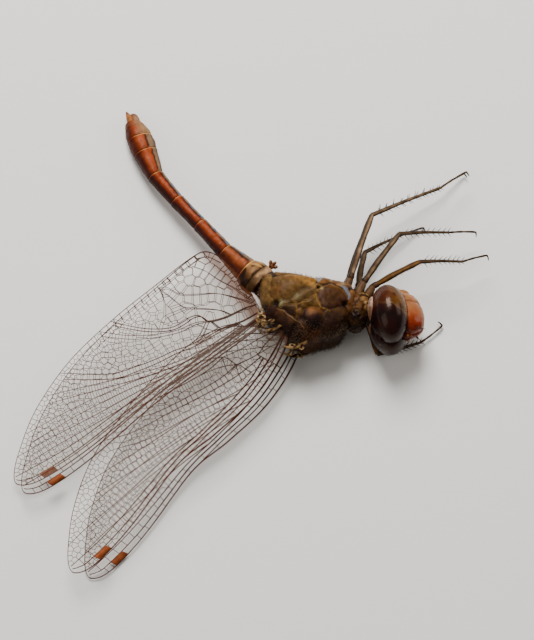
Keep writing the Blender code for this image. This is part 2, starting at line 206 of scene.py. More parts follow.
def gridFaces(rows, columns, wrap=True, start=0):
    # quads of a grid stored row by row, with its columns joined round when wrap is set
    r, c = np.meshgrid(np.arange(rows - 1), np.arange(columns if wrap else columns - 1), indexing="ij")
    n = (c + 1) % columns
    quads = np.stack([r * columns + c, r * columns + n, (r + 1) * columns + n, (r + 1) * columns + c], -1)
    return quads.reshape(-1, 4) + start


def capFaces(rows, columns, first, last):
    # fans from a pole point to the first and the last ring of a grid
    c = np.arange(columns)
    n = (c + 1) % columns
    top = (rows - 1) * columns
    return np.concatenate([np.stack([n, c, np.full(columns, first)], 1),
                           np.stack([top + c, top + n, np.full(columns, last)], 1)])


def facesInward(points, quads):
    # true where the volume that the quads enclose about their middle comes out negative: the sum over
    # each quad's two triangles of a . (b x c)
    middle = points.mean(0)
    a, b, c, d = (points[quads[:, k]] - middle for k in range(4))
    return (np.einsum("ij,ij->i", a, np.cross(b, c)) + np.einsum("ij,ij->i", a, np.cross(c, d))).sum() < 0


def gridNormals(grid):
    # cross product of the steps along and round a grid of rings, turned to point away from its middle
    along = np.gradient(grid, axis=0)
    normal = unit(np.cross(along, np.roll(grid, -1, axis=1) - np.roll(grid, 1, axis=1)))
    outward = np.einsum("ijk,ijk->ij", normal, grid - grid.reshape(-1, 3).mean(0))
    return normal if outward.mean() > 0 else -normal


def raised(grid, height):
    # a skin moved out along its normals by the height at each point
    return grid + gridNormals(grid) * height[..., None]


def nearPath(x, y, path):
    # distance from each (x, y) to a chain of straight spans, as a share of the span's half width there:
    # 0 on the line and 1 at its edge
    best = np.full(np.shape(x), 9.0)
    for (ax, ay, ar), (bx, by, br) in zip(path, path[1:]):
        dx, dy = bx - ax, by - ay
        t = np.clip(((x - ax) * dx + (y - ay) * dy) / max(dx * dx + dy * dy, 1e-9), 0, 1)
        away = np.hypot(x - ax - t * dx, y - ay - t * dy) / (ar + t * (br - ar))
        best = np.minimum(best, away)
    return best


def layered(tint, layers, value):
    # the tint turned to each layer's colour in turn, as the value goes from the first limit to the last
    for code, first, last in layers:
        tint = blend(tint, colour(code), smooth(first, last, value))
    return tint


def addNode(tree, kind, settings=None, values=None, links=None):
    # one node with its settings, its unlinked values and its links
    made = tree.nodes.new(kind)
    for name, value in (settings or {}).items():
        setattr(made, name, value)
    for name, value in (values or {}).items():
        made.inputs[name].default_value = value
    for name, source in (links or {}).items():
        tree.links.new(source, made.inputs[name])
    return made


def newMaterial(name):
    # an empty material and its tree
    made = bpy.data.materials.new(name)
    made.use_nodes = True
    made.node_tree.nodes.clear()
    return made, made.node_tree


def tintShader(name, values):
    # a shell of one finish, coloured by the tint of each point
    made, tree = newMaterial(name)
    tint = addNode(tree, "ShaderNodeAttribute", {"attribute_name": "tint"})
    shader = addNode(tree, "ShaderNodeBsdfPrincipled", None, values, {"Base Color": tint.outputs["Color"]})
    addNode(tree, "ShaderNodeOutputMaterial", None, None, {"Surface": shader.outputs["BSDF"]})
    return made


# what all shells share: the range that the noise spans, how far it roughens and smooths, the depth of
# the finest grain, and the warm gloss of wax
shell = {"noise": {"From Min": 0.3, "From Max": 0.7}, "rougher": 0.08, "smoother": 0.06, "grainDepthMm": 0.02,
         "ior": 1.55, "coatRoughness": 0.1, "gloss": "#ffd6ae"}


def chitin(name, recipe):
    # insect shell: a hard layered skin, waxy and glossy over its colour. The tint of each point is
    # mottled by noise, and a finer noise raises its grain.
    made, tree = newMaterial(name)
    where = addNode(tree, "ShaderNodeTexCoord")
    tint = addNode(tree, "ShaderNodeAttribute", {"attribute_name": "tint"})
    mottle = addNode(tree, "ShaderNodeTexNoise", None,
                     {"Scale": 1 / (recipe["mottleMm"] * mm), "Detail": 4.0, "Roughness": 0.6},
                     {"Vector": where.outputs["Object"]})
    level = addNode(tree, "ShaderNodeMapRange", None,
                    {**shell["noise"], "To Min": 1 - recipe["mottle"], "To Max": 1 + recipe["mottle"]},
                    {"Value": mottle.outputs["Fac"]})
    shaded = addNode(tree, "ShaderNodeVectorMath", {"operation": "SCALE"}, None,
                     {0: tint.outputs["Color"], "Scale": level.outputs["Result"]})
    grain = addNode(tree, "ShaderNodeTexNoise", None, {"Scale": 1 / (recipe["grainMm"] * mm), "Detail": 3.0},
                    {"Vector": where.outputs["Object"]})
    bump = addNode(tree, "ShaderNodeBump", None,
                   {"Strength": recipe["grain"], "Distance": shell["grainDepthMm"] * mm},
                   {"Height": grain.outputs["Fac"]})
    rough = addNode(tree, "ShaderNodeMapRange", None,
                    {**shell["noise"], "To Min": recipe["roughness"] - shell["smoother"],
                     "To Max": recipe["roughness"] + shell["rougher"]}, {"Value": mottle.outputs["Fac"]})
    shader = addNode(tree, "ShaderNodeBsdfPrincipled", None,
                     {"IOR": shell["ior"], "Coat Weight": recipe["coat"],
                      "Coat Roughness": shell["coatRoughness"], "Specular IOR Level": recipe["shine"],
                      "Specular Tint": (*colour(shell["gloss"]), 1.0)},
                     {"Base Color": shaded.outputs["Vector"], "Roughness": rough.outputs["Result"],
                      "Normal": bump.outputs["Normal"]})
    addNode(tree, "ShaderNodeOutputMaterial", None, None, {"Surface": shader.outputs["BSDF"]})
    return made


# satin mottled thorax, glossy face, smooth dark eyes with a fine grain, satin abdomen, rougher legs and dusty
# skin: size and strength of the mottle and of the grain, roughness, coat of wax and shine
recipeParts = ("mottleMm", "mottle", "grainMm", "grain", "roughness", "coat", "shine")
recipes = {
    "thorax chitin": (0.4, 0.4, 0.08, 0.18, 0.42, 0.0, 0.1),
    "face chitin": (0.7, 0.16, 0.12, 0.1, 0.22, 0.18, 0.14),
    "eye facets": (0.9, 0.2, 0.035, 0.05, 0.24, 0.1, 0.1),
    "abdomen chitin": (0.6, 0.28, 0.06, 0.2, 0.44, 0.02, 0.1),
    "leg chitin": (0.5, 0.35, 0.07, 0.3, 0.4, 0.0, 0.12),
    "joint membrane": (0.3, 0.3, 0.05, 0.8, 0.6, 0.0, 0.2),
}
looks = {name: chitin(name, dict(zip(recipeParts, values))) for name, values in recipes.items()}
print("materials made")


def placed(piece, slotName, *nodes):
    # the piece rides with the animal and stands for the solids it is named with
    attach(piece, "root")
    if nodes:
        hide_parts(*nodes)
    return piece


def joined(parts):
    # several shapes (points, quads, triangles, tint, uv) as the arrays of one mesh
    counts = np.cumsum([0] + [len(p[0]) for p in parts])[:-1]
    points, tint, uv = (np.vstack([p[k] for p in parts]) for k in (0, 3, 4))
    quads, triangles = (np.vstack([p[k] + start for p, start in zip(parts, counts)]) for k in (1, 2))
    return points, [quads, triangles], tint, uv


def addPiece(name, shapes, lookName, slotName, *nodes, uvName="UVMap"):
    # one mesh of several closed shapes, put in its place
    points, faces, tint, uv = joined(shapes)
    return placed(makeMesh(name, points, faces, looks[lookName], tint, uv, uvName), slotName, *nodes)


def ringsShape(grid, tint, poles=None):
    # rings closed at both ends, wound outwards, with their unwrap: round the ring and along the rings
    rows, columns = grid.shape[:2]
    ends = np.array([grid[0].mean(0), grid[-1].mean(0)]) if poles is None else np.asarray(poles, float)
    points = np.vstack([grid.reshape(-1, 3), ends])
    quads = gridFaces(rows, columns)
    triangles = capFaces(rows, columns, rows * columns, rows * columns + 1)
    if facesInward(points, quads):
        quads, triangles = quads[:, ::-1], triangles[:, ::-1]
    tint = np.broadcast_to(tint, grid.shape).reshape(-1, 3)
    tint = np.vstack([tint, tint[:columns].mean(0), tint[-columns:].mean(0)])
    v, u = np.meshgrid(np.linspace(0, 1, rows), np.arange(columns) / columns, indexing="ij")
    uv = np.vstack([np.stack([u, v], -1).reshape(-1, 2), [[0.5, 0], [0.5, 1]]])
    return points, quads, triangles, tint, uv


def pathAxes(path, up):
    # for each point of a path: two directions across it, the second one nearest to up
    run = np.gradient(path, axis=0)
    run /= np.linalg.norm(run, axis=1, keepdims=True)
    across = unit(np.cross(run, np.broadcast_to(np.asarray(up, float), run.shape)))
    return across, np.cross(across, run)


def limb(path, wide, tall, up, sides=16, keel=0.0):
    # an ellipse carried along a path: point = path + across * wide * cos + rise * tall * sin, with
    # ridges of height keel along it, so that radius is multiplied by 1 + keel * cos(6 * angle)
    across, rise = pathAxes(path, up)
    angle = np.arange(sides) * 2 * math.pi / sides
    swell = 1 + keel * np.cos(6 * angle)
    wide, tall = (np.broadcast_to(np.asarray(r, float), len(path))[:, None, None] for r in (wide, tall))
    return (path[:, None] + across[:, None] * (wide * (swell * np.cos(angle))[None, :, None])
            + rise[:, None] * (tall * (swell * np.sin(angle))[None, :, None]))


def bristles(roots, tips, radius, tint, sides=3, bend=None, uv=None, patch=0.0008):
    # thin curved cones: centre = root + (tip - root) t + bend t^2 at t = 0, 0.4, 0.75, radius falling to
    # nothing at the tip. Returns the arrays of one mesh.
    roots, tips = np.asarray(roots, float), np.asarray(tips, float)
    count = len(roots)
    bend = np.zeros_like(roots) if bend is None else bend
    stations = np.array([0.0, 0.4, 0.75])
    taper = 0.72  # share of the radius lost on the way to the tip
    line = tips - roots
    run = line / (np.linalg.norm(line, axis=1, keepdims=True) + 1e-9)
    helper = np.where(np.abs(run[:, 2:3]) > 0.8, [[1.0, 0, 0]], [[0, 0, 1.0]])
    across = np.cross(run, helper)
    across /= np.linalg.norm(across, axis=1, keepdims=True)
    rise = np.cross(run, across)
    angle = np.arange(sides) * 2 * math.pi / sides
    spoke = (across[:, None, None] * np.cos(angle)[None, None, :, None]
             + rise[:, None, None] * np.sin(angle)[None, None, :, None])
    thick = radius * (1 - taper * stations)[None, :, None, None]
    t = stations[None, :, None]
    centre = roots[:, None] + line[:, None] * t + bend[:, None] * t**2
    rings = centre[:, :, None] + spoke * thick
    points = np.concatenate([rings.reshape(count, -1, 3), (tips + bend)[:, None], roots[:, None]], axis=1)
    per = 3 * sides + 2
    base = (np.arange(count) * per)[:, None, None]
    k = np.arange(sides)
    n = (k + 1) % sides
    wall = gridFaces(3, sides)
    fans = np.concatenate([np.stack([2 * sides + k, 2 * sides + n, np.full(sides, 3 * sides)], 1),
                           np.stack([n, k, np.full(sides, 3 * sides + 1)], 1)])
    quads, triangles = (wall + base).reshape(-1, 4), (fans + base).reshape(-1, 3)
    flat = points.reshape(-1, 3)
    if facesInward(flat[:per], quads[:len(wall)]):
        quads, triangles = quads[:, ::-1], triangles[:, ::-1]
    tint = np.repeat(np.broadcast_to(tint, (count, 3)), per, axis=0)
    # unwrap: each one a small fan about its own place
    uv = np.tile([[0.5, 0.5]], (count, 1)) if uv is None else uv
    out = np.repeat(0.3 + stations, sides)
    corner = np.concatenate([np.stack([np.tile(np.cos(angle), 3) * out, np.tile(np.sin(angle), 3) * out], 1),
                             [[1.2, 0.0], [0.0, 0.0]]]) * patch
    uv = (uv[:, None] + corner[None]).reshape(-1, 2)
    return flat, quads, triangles, tint, uv


def inSkin(normals, seed):
    # a seeded random direction lying in the surface at each root
    rng = np.random.default_rng(seed)
    loose = rng.normal(size=normals.shape)
    loose -= normals * np.einsum("ij,ij->i", loose, normals)[:, None]
    return loose / (np.linalg.norm(loose, axis=1, keepdims=True) + 1e-9)


# thorax: one shell, all of it worked out in the thorax's own frame, x forward and y to the belly
thorax = {
    "outline": ((-4.65, 1.5), (-2.8, 2.3), (-0.9, 2.8), (1.15, 3.4), (2.65, 3.6), (3.6, 2.6), (3.75, 0.7),
        (3.55, -1.05), (2.45, -2.45), (0.6, -3.6), (-1.9, -2.9), (-3.85, -1.7), (-4.95, 0.3)),
    "halfWidth": 2.6, "fullness": 0.62, "typicalReach": 3.4, "trim": 0.004, "rings": 230, "around": 360,
    "base": "#3a240f", "grooveShade": "#120a05", "floorLevel": -0.06, "grow": 0.05, "liftShare": 0.55,
    # share of a colour that a groove's edge, a seam, a hollow and a spot keep, and the width of a groove; the
    # groove and hollow colours are painted shade, and the pale seam colours partly painted highlight
    "edgeShade": 0.3, "seamLift": 0.45, "seamTintAndHighlight": 0.5, "hollowShade": 0.85, "spotTint": 0.75,
    "grooveMm": 0.09, "waver": 0.06, "waverMm": 1.1,
    # ripples of the skin and of its tint: height, size, seed
    "uneven": ((0.022, 1.6, 11), (0.005, 0.5, 12)), "mottle": ((0.16, 0.7, 13), (0.08, 0.22, 14)),
    # plates: outline of (forward, belly) corners, how far it stands out, how softly its edge rounds, its
    # colour and the lighter colour of its side nearest the belly, painted light on the side that faces the
    # light
    "plates": {
        "rear rim": (((-5.2, 1.9), (-4.0, 0.6), (-3.5, -0.9), (-3.0, -1.3), (-3.1, -1.8), (-4.3, -1.7),
            (-5.3, 0.2)), 0.1, 0.3, "#5a4020", "#74552a"),
        "rear belly": (((-4.8, 2.2), (-3.7, 1.2), (-2.3, 2.1), (-0.95, 2.55), (-0.5, 2.75), (-0.45, 3.6),
            (-4.2, 3.2)), 0.06, 0.25, "#5a3d19", "#6e4c20"),
        "rear side": (((-3.6, 1.15), (-2.1, 2.1), (-0.9, 2.5), (-0.35, 2.25), (-0.3, 1.75), (-0.95, 1.0),
            (-1.4, 0.3), (-1.75, -0.5), (-2.1, -1.1), (-2.5, -1.4), (-3.0, -1.2), (-3.5, -0.9), (-3.9, -0.2),
            (-4.1, 0.5)), 0.34, 0.9, "#4c3418", "#8c5f26"),
        "spiracle band": (((-0.25, 1.75), (-0.85, 1.0), (-1.3, 0.3), (-1.6, -0.55), (-2.0, -1.1),
            (-2.4, -1.6), (-2.1, -1.85), (-1.5, -1.2), (-0.8, -0.65), (-0.45, -0.35), (-0.1, 0.4),
            (0.35, 0.85), (0.6, 1.4), (0.15, 1.9)), 0.24, 0.6, "#3d2b12", "#5a3f1e"),
        "small lobe": (((-1.95, -1.6), (-1.4, -1.1), (-0.95, -0.95), (-0.6, -1.25), (-0.5, -1.95),
            (-1.2, -1.9)), 0.24, 0.22, "#2b1a0a", "#4f3715"),
        "olive field": (((-0.6, -0.5), (-0.1, 0.4), (0.25, 0.85), (0.7, 0.35), (1.2, -0.15), (1.5, -0.35),
            (0.7, -0.35), (0.2, -0.65), (-0.3, -1.0)), 0.2, 0.4, "#3f2a0e", "#583c16"),
        "dark boss": (((0.0, -1.3), (0.2, -0.7), (0.7, -0.4), (1.35, -0.4), (1.7, -0.8), (1.8, -1.5),
            (1.6, -2.1), (1.2, -2.45), (0.7, -2.2), (0.2, -1.8)), 0.34, 0.6, "#1b0d05", "#4a2a0e"),
        "front side": (((0.35, 1.3), (0.5, 1.8), (1.0, 2.25), (1.7, 2.35), (2.3, 2.15), (2.9, 1.7),
            (3.15, 1.2), (2.75, 0.75), (2.1, 0.2), (1.8, -0.2), (1.45, -0.2), (0.85, 0.2), (0.45, 0.7)), 0.3,
            0.7, "#2a1406", "#4c2c10"),
        "shoulder": (((1.7, -0.3), (2.2, 0.1), (2.6, 0.55), (3.1, 0.8), (3.9, 0.6), (4.6, 0.1), (4.7, -1.2),
            (3.9, -2.1), (3.1, -2.4), (2.4, -2.4), (1.85, -2.0), (1.85, -1.5), (1.75, -0.8)), 0.34, 0.8,
            "#201106", "#38220c"),
        "lower back": (((1.85, -2.1), (2.4, -2.5), (3.1, -2.5), (4.0, -2.2), (5.0, -1.4), (4.6, -3.0),
            (2.9, -4.2), (1.2, -4.7), (0.7, -3.4), (1.3, -2.6)), 0.12, 0.4, "#3a1c0c", "#4a2810"),
        "small middle": (((-0.7, -1.5), (-0.25, -1.0), (0.2, -1.85), (0.7, -2.25), (1.2, -2.55), (0.95, -3.0),
            (-0.1, -2.4), (-0.5, -2.0)), 0.1, 0.2, "#2c1808", "#4c3012"),
        "hip band": (((-0.35, 3.6), (-0.3, 2.7), (0.1, 1.95), (0.5, 2.3), (1.1, 2.55), (2.0, 2.55),
            (2.6, 2.9), (2.8, 4.0), (0.6, 3.8)), 0.1, 0.25, "#5c3a1b", "#7d5830"),
        "front band": (((2.7, 2.5), (3.05, 1.9), (3.35, 0.95), (4.1, 0.7), (4.6, 1.2), (4.2, 2.6),
            (3.3, 3.4)), 0.14, 0.25, "#523217", "#744a26"),
        "back lobe 1": (((-3.9, -1.6), (-3.0, -1.7), (-2.4, -1.9), (-2.5, -2.9), (-3.6, -2.9), (-4.6, -2.2)),
            0.1, 0.3, "#241007", "#3c1f0e"),
        "back lobe 2": (((-2.2, -2.0), (-1.5, -2.25), (-1.2, -2.9), (-1.6, -3.9), (-2.6, -3.8), (-2.6, -2.7)),
            0.12, 0.5, "#221107", "#38200e"),
        "back lobe 3": (((-1.3, -2.3), (-0.6, -2.4), (-0.2, -2.9), (-0.4, -4.0), (-1.4, -4.1), (-1.2, -3.0)),
            0.1, 0.5, "#1c0e06", "#301a0b"),
        "back lobe 4": (((-0.4, -2.5), (0.2, -2.7), (0.8, -3.3), (1.0, -4.6), (-0.2, -4.6), (-0.2, -3.2)),
            0.1, 0.5, "#180c06", "#2c180a"),
    },
    # thin raised seams: spine with half width, height, colour, the pale colours partly the seams' own and
    # partly painted highlight along the ridge
    "seams": (
        (((0.3, 0.75, 0.1), (0.75, 0.15, 0.09), (1.25, -0.26, 0.08), (2.06, -0.2, 0.07)), 0.1, "#7c5624"),
        (((0.3, 0.6, 0.09), (-0.1, -0.35, 0.08), (-0.7, -0.87, 0.08)), 0.06, "#63461d"),
        (((-1.5, -0.75, 0.09), (-0.9, -0.85, 0.09), (-0.58, -1.4, 0.1), (-0.5, -2.05, 0.08)), 0.1, "#6b491d"),
        (((-2.4, -1.87, 0.045), (-1.4, -2.1, 0.045), (-0.66, -2.25, 0.045), (0.6, -2.6, 0.045)), 0.12,
            "#8d6644"),
        (((0.3, 1.1, 0.08), (0.5, 1.75, 0.08), (1.0, 2.3, 0.09), (2.2, 2.25, 0.09), (2.95, 1.75, 0.08)), 0.08,
            "#664720"),
        (((2.3, 0.15, 0.06), (1.8, -0.3, 0.06), (1.75, -1.2, 0.06), (1.7, -1.9, 0.05)), 0.06, "#3d2a10"),
    ),
    # hollows: (forward, belly, radius), depth, colour of the painted shade in the hollow
    "hollows": (
        ((1.7, 1.15, 0.75), 0.1, "#3a220e"), ((3.0, 1.1, 0.34), 0.26, "#0b0705"),
        ((0.2, 1.47, 0.16), 0.3, "#080504"), ((0.2, -1.95, 0.3), 0.12, "#120b07"),
        ((-2.8, -1.6, 0.35), 0.2, "#120907"), ((-3.6, -2.0, 0.4), 0.2, "#0e0806"),
        ((1.35, -1.95, 0.5), 0.05, "#0d0805"), ((-0.2, -2.9, 0.3), 0.15, "#0d0706"),
        ((3.6, -0.2, 0.3), 0.1, "#150d07"),
    ),
    # coloured spots: (forward, belly, radius), colour
    "spots": (
        ((0.5, -0.95, 0.32), "#6e3c10"), ((0.5, 1.5, 0.14), "#86734c"), ((3.4, 1.7, 0.35), "#6b4020"),
        ((-2.9, -0.3, 0.5), "#4a2c14"), ((-1.2, -0.2, 0.3), "#6c6140"), ((-2.2, -1.35, 0.22), "#7c7352"),
        ((0.9, 2.75, 0.2), "#8d7353"), ((1.9, 2.9, 0.25), "#8c7a60"),
    ),
    # taut pale skin between plates: corners of (forward, belly), colour
    "membranes": ((((-0.5, 2.6), (-0.35, 2.25), (-0.05, 2.0), (0.15, 2.35), (0.0, 2.75)), "#65666a"),
        (((1.9, 2.6), (2.3, 2.3), (2.75, 2.0), (3.0, 1.7), (3.1, 2.0), (2.75, 2.5), (2.4, 2.85)), "#5c5c62")),
}


def nearest(points, others):
    # distance from each flat point to the nearest of the others
    return np.hypot(points[:, None, 0] - others[None, :, 0], points[:, None, 1] - others[None, :, 1]).min(1)


def insideDistance(x, y, outline, count=56):
    # how far each (x, y) lies inside a smooth closed outline, negative outside it
    loop = smoothLoop(outline, count)
    least = np.full(x.shape, 99.0)
    crossings = np.zeros(x.shape, bool)
    for (ax, ay), (bx, by) in zip(loop, np.roll(loop, -1, axis=0)):
        dx, dy = bx - ax, by - ay
        t = np.clip(((x - ax) * dx + (y - ay) * dy) / (dx * dx + dy * dy + 1e-12), 0, 1)
        least = np.minimum(least, np.hypot(x - ax - t * dx, y - ay - t * dy))
        crossings ^= ((ay > y) != (by > y)) & (x < dx * (y - ay) / (dy + 1e-12) + ax)
    return np.where(crossings, least, -least)


def thoraxRelief(x, y):
    # how far the shell stands out from its smooth body, and its tint, from the forward and belly coordinates:
    # a plate rises as lift * (1 - exp(-inside distance / softness)), and the highest plate wins
    flat = onPlane(x, y)
    x = x + thorax["waver"] * ripple(flat, thorax["waverMm"], 3)
    y = y + thorax["waver"] * ripple(flat, thorax["waverMm"], 4)
    floor, edge = thorax["floorLevel"], thorax["edgeShade"]
    height = np.full(x.shape, floor)
    tint = np.broadcast_to(colour(thorax["base"]), x.shape + (3,)).copy()
    shade = np.full(x.shape, edge)
    for outline, lift, soft, face, litBellyFace in thorax["plates"].values():
        lift = lift * thorax["liftShare"]
        inside = insideDistance(x, y, outline) + thorax["grow"]
        rise = floor + (lift - floor) * (1 - np.exp(-np.clip(inside, 0, 9) / soft * 1.6))
        top = (inside > 0) & (rise > height)
        rows = np.array(outline)[:, 1]
        # painted light: the plate turns to its lighter colour towards the belly side, which faces the light
        towards = smooth(rows.mean() + 0.05 * np.ptp(rows), rows.max(), y)
        height = np.where(top, rise, height)
        tint = np.where(top[..., None], blend(colour(face), colour(litBellyFace), towards), tint)
        # painted shade: the colour darkens towards the groove colour in a narrow band at each plate's edge
        shade = np.where(top, edge + (1 - edge) * smooth(0.0, thorax["grooveMm"], inside), shade)
    for path, lift, face in thorax["seams"]:
        mark = np.exp(-nearPath(x, y, path) ** 2)
        height = height + thorax["seamLift"] * lift * mark
        # the seam colour, partly real and partly a painted highlight along the ridge
        tint = blend(tint, colour(face), thorax["seamTintAndHighlight"] * mark)
        shade = shade + (1 - shade) * 0.8 * mark
    for (px, py, radius), depth, face in thorax["hollows"]:
        mark = np.exp(-(((x - px) ** 2 + (y - py) ** 2) / radius**2) ** 1.5)
        height = height - depth * mark
        # painted shade: each hollow is darkened towards its near-black colour
        tint = blend(tint, colour(face), thorax["hollowShade"] * mark)
    for (px, py, radius), face in thorax["spots"]:
        mark = np.exp(-((x - px) ** 2 + (y - py) ** 2) / radius**2)
        tint = blend(tint, colour(face), thorax["spotTint"] * mark)
    for outline, face in thorax["membranes"]:
        mark = smooth(-0.03, 0.07, insideDistance(x, y, outline))
        height = height * (1 - mark)
        tint = blend(tint, colour(face), mark)
        shade = shade + (1 - shade) * mark
    # painted shade in the grooves, where the shade share falls
    return height, blend(tint, colour(thorax["grooveShade"]), 1 - np.clip(shade, 0, 1))


def thoraxBody():
    # outline scaled about its middle by cos(turn)^fullness, at the width halfWidth * sin(turn)^fullness,
    # with the turns spread so that the rings are evenly spaced
    halfWidth, fullness, trim = thorax["halfWidth"], thorax["fullness"], thorax["trim"]
    loop = smoothLoop(thorax["outline"], thorax["around"])
    middle = loop.mean(0)
    fine = np.linspace(-math.pi / 2 + 1e-4, math.pi / 2 - 1e-4, 4000)
    spread = np.cos(fine) ** fullness * thorax["typicalReach"]
    width = halfWidth * signedPower(np.sin(fine), fullness)
    run = np.concatenate([[0], np.cumsum(np.hypot(np.diff(spread), np.diff(width)))])
    turn = np.interp(np.linspace(run[-1] * trim, run[-1] * (1 - trim), thorax["rings"]), run, fine)
    plane = middle + (loop - middle)[None] * (np.cos(turn) ** fullness)[:, None, None]
    width = halfWidth * signedPower(np.sin(turn), fullness)
    return np.concatenate([plane, np.broadcast_to(width[:, None, None], plane.shape[:2] + (1,))], -1)


thoraxGrid = thoraxBody()
relief, thoraxTint = thoraxRelief(thoraxGrid[..., 0], thoraxGrid[..., 1])
thoraxSkin = raised(thoraxGrid, relief + added(0, thoraxGrid, thorax["uneven"]))
thoraxTint = np.clip(thoraxTint * added(1, thoraxGrid, thorax["mottle"])[..., None], 0.004, 1)
addPiece("thorax_shell", [ringsShape(toFloor(thoraxFrame, thoraxSkin), thoraxTint)], "thorax chitin",
         "thorax_shell", "thorax")
print("thorax shell made")


def ellipsoidGrid(semi, rings, around, tilt=0.0, squareness=1.0):
    # x = a cos(turn) sin(angle), y = -b sin(turn), z = c cos(turn) cos(angle), poles on the y axis, each
    # cosine and sine raised to the power squareness, then turned by tilt about x
    pole = 0.03  # the first and last ring stay this far from the poles
    turn = np.linspace(-math.pi / 2 + pole, math.pi / 2 - pole, rings)[:, None]
    angle = (np.arange(around) * 2 * math.pi / around)[None, :]
    x = semi[0] * signedPower(np.cos(turn), squareness) * signedPower(np.sin(angle), squareness)
    y = -semi[1] * signedPower(np.sin(turn), squareness) * np.ones_like(angle)
    z = semi[2] * signedPower(np.cos(turn), squareness) * signedPower(np.cos(angle), squareness)
    c, s = math.cos(tilt), math.sin(tilt)
    return np.stack([x, y * c - z * s, y * s + z * c], -1)


def bodyPiece(name, where, grid, tint, lookName, slotName, *nodes):
    # a closed surface in a body frame, put on the floor and named for the solids it stands for
    shape = ringsShape(toFloor(where, grid), np.clip(tint, 0.003, 1))
    return addPiece(name, [shape], lookName, slotName, *nodes)


# prothorax: the small collar behind the head, in its own frame, with a shield on its back
prothorax = {
    "semi": (1.2, 1.95, 1.5), "base": "#4a2f16", "rings": 110, "around": 150,
    # (forward, belly, side) of a knob, its radius, lift, colour
    "knobs": (
        ((-0.6, 0.9, 1.15), 0.6, 0.14, "#503018"), ((0.3, 0.75, 1.25), 0.48, 0.16, "#6d4c28"),
        ((0.95, 0.95, 0.8), 0.42, 0.18, "#7a5832"), ((-0.2, 1.55, 0.9), 0.45, 0.16, "#6c4d2a"),
        ((0.45, 1.6, 0.75), 0.36, 0.2, "#7e6038"), ((0.0, 0.1, 1.45), 0.5, 0.1, "#4a2c12"),
        ((0.75, 0.15, 1.2), 0.4, 0.14, "#5e3f20"), ((-0.7, 0.1, 1.3), 0.45, 0.1, "#351d0b"),
        ((-0.1, -0.9, 1.2), 0.5, 0.1, "#1d0d06"), ((0.55, -1.0, 0.95), 0.4, 0.12, "#2c1408"),
        ((0.1, -1.7, 0.5), 0.45, 0.12, "#241008"), ((0.5, 0.5, 1.35), 0.18, 0.2, "#8d6c42"),
    ),
    "gap": "#0c0503", "gapDepth": 0.08, "liftShare": 0.7, "uneven": ((0.03, 0.4, 21),),
    "mottle": ((0.2, 0.5, 22),),
}
grid = ellipsoidGrid(prothorax["semi"], prothorax["rings"], prothorax["around"], 0.0, 0.85)
tint = np.broadcast_to(colour(prothorax["base"]), grid.shape).copy()
side = np.abs(grid[..., 2])
lift = np.full(grid.shape[:2], -prothorax["gapDepth"])
for (px, py, pz), radius, height, face in prothorax["knobs"]:
    away = np.sqrt((grid[..., 0] - px) ** 2 + (grid[..., 1] - py) ** 2 + (side - pz) ** 2) / radius
    mark = np.clip(1 - away**2, 0, 1) ** 0.6
    lift = np.maximum(lift, prothorax["liftShare"] * height * mark - prothorax["gapDepth"])
    tint = blend(tint, colour(face), smooth(1.0, 0.75, away))
# painted shade: near black in the gaps between the knobs and over the back of the collar
gapShade = np.maximum(smooth(0.0, -0.06, lift) * 0.6, 0.75 * smooth(-0.1, -0.8, grid[..., 1]))
tint = blend(tint, colour(prothorax["gap"]), gapShade)
grid = raised(grid, added(lift, grid, prothorax["uneven"]))
bodyPiece("prothorax_shell", prothoraxFrame, grid, tint * added(1, grid, prothorax["mottle"])[..., None],
          "thorax chitin", "thorax_shell", "prothorax")

# neck: soft wrinkled skin, pale and dusty on the side
neck = {"semi": (0.85, 1.15, 1.05), "centre": (1.2, 0.15, 0.0), "pale": "#d2bab4", "dark": "#120a08",
        "rings": 60, "around": 90, "wrinkleMm": 0.22, "wrinkleDepth": 0.03,
        "uneven": ((0.04, 0.35, 25),), "edge": ((0.1, 0.3, 24),)}
grid = ellipsoidGrid(neck["semi"], neck["rings"], neck["around"])
wrinkle = np.cos(grid[..., 0] * 2 * math.pi / neck["wrinkleMm"] + 1.5 * ripple(grid, 0.7, 23))
back = smooth(0.05, -0.3, added(grid[..., 1], grid, neck["edge"]))
# painted shade: the skin turns near black on its back, in the gap between the head and the collar
tint = blend(colour(neck["pale"]), colour(neck["dark"]), back)
bumps = added(neck["wrinkleDepth"] * wrinkle, grid, neck["uneven"])
grid = raised(grid, bumps) + np.array(neck["centre"])
# painted shade: the skin is darker in the troughs of its wrinkles
bodyPiece("neck_skin", prothoraxFrame, grid, tint * (0.85 + 0.15 * wrinkle)[..., None],
          "joint membrane", "membrane", "neck")
print("collar and neck made")

# eyes: two large domes that meet on the top of the head. x is forward, y to the mouth, z to the left
eyes = {
    "semi": (1.75, 2.8, 2.3), "centre": (0.0, -0.55, 0.95), "lean": 0.1, "meeting": 0.02,
    "rings": 150, "around": 190, "crownWarm": "#230b05",
    # colours that the crown takes in turn with the height above its edge
    "crown": (("#120503", 0.15, 1.1), ("#200c06", 0.9, 1.9)), "edgeMm": 0.09,
    "edgeWaver": ((0.05, 0.9, 31),), "frontWaver": ((0.12, 0.8, 32),),
    "edge": "#4e3a22", "rear": "#38170a", "front": "#563410", "below": "#7c501c", "spot": "#2c1206",
    # edge of the dark crown: (forward, place towards the mouth)
    "crownEdge": ((-1.8, -0.62), (-1.06, -0.52), (-0.28, -0.92), (0.25, -0.98), (0.51, -1.28), (1.05, -1.5),
        (1.75, -1.62)),
    # false pupils and smudges: (forward, towards the mouth, radius)
    "spots": ((-0.25, 1.05, 0.26), (0.42, 1.28, 0.2), (0.52, 0.02, 0.24), (1.02, -1.15, 0.3),
        (1.15, 0.6, 0.16)),
}


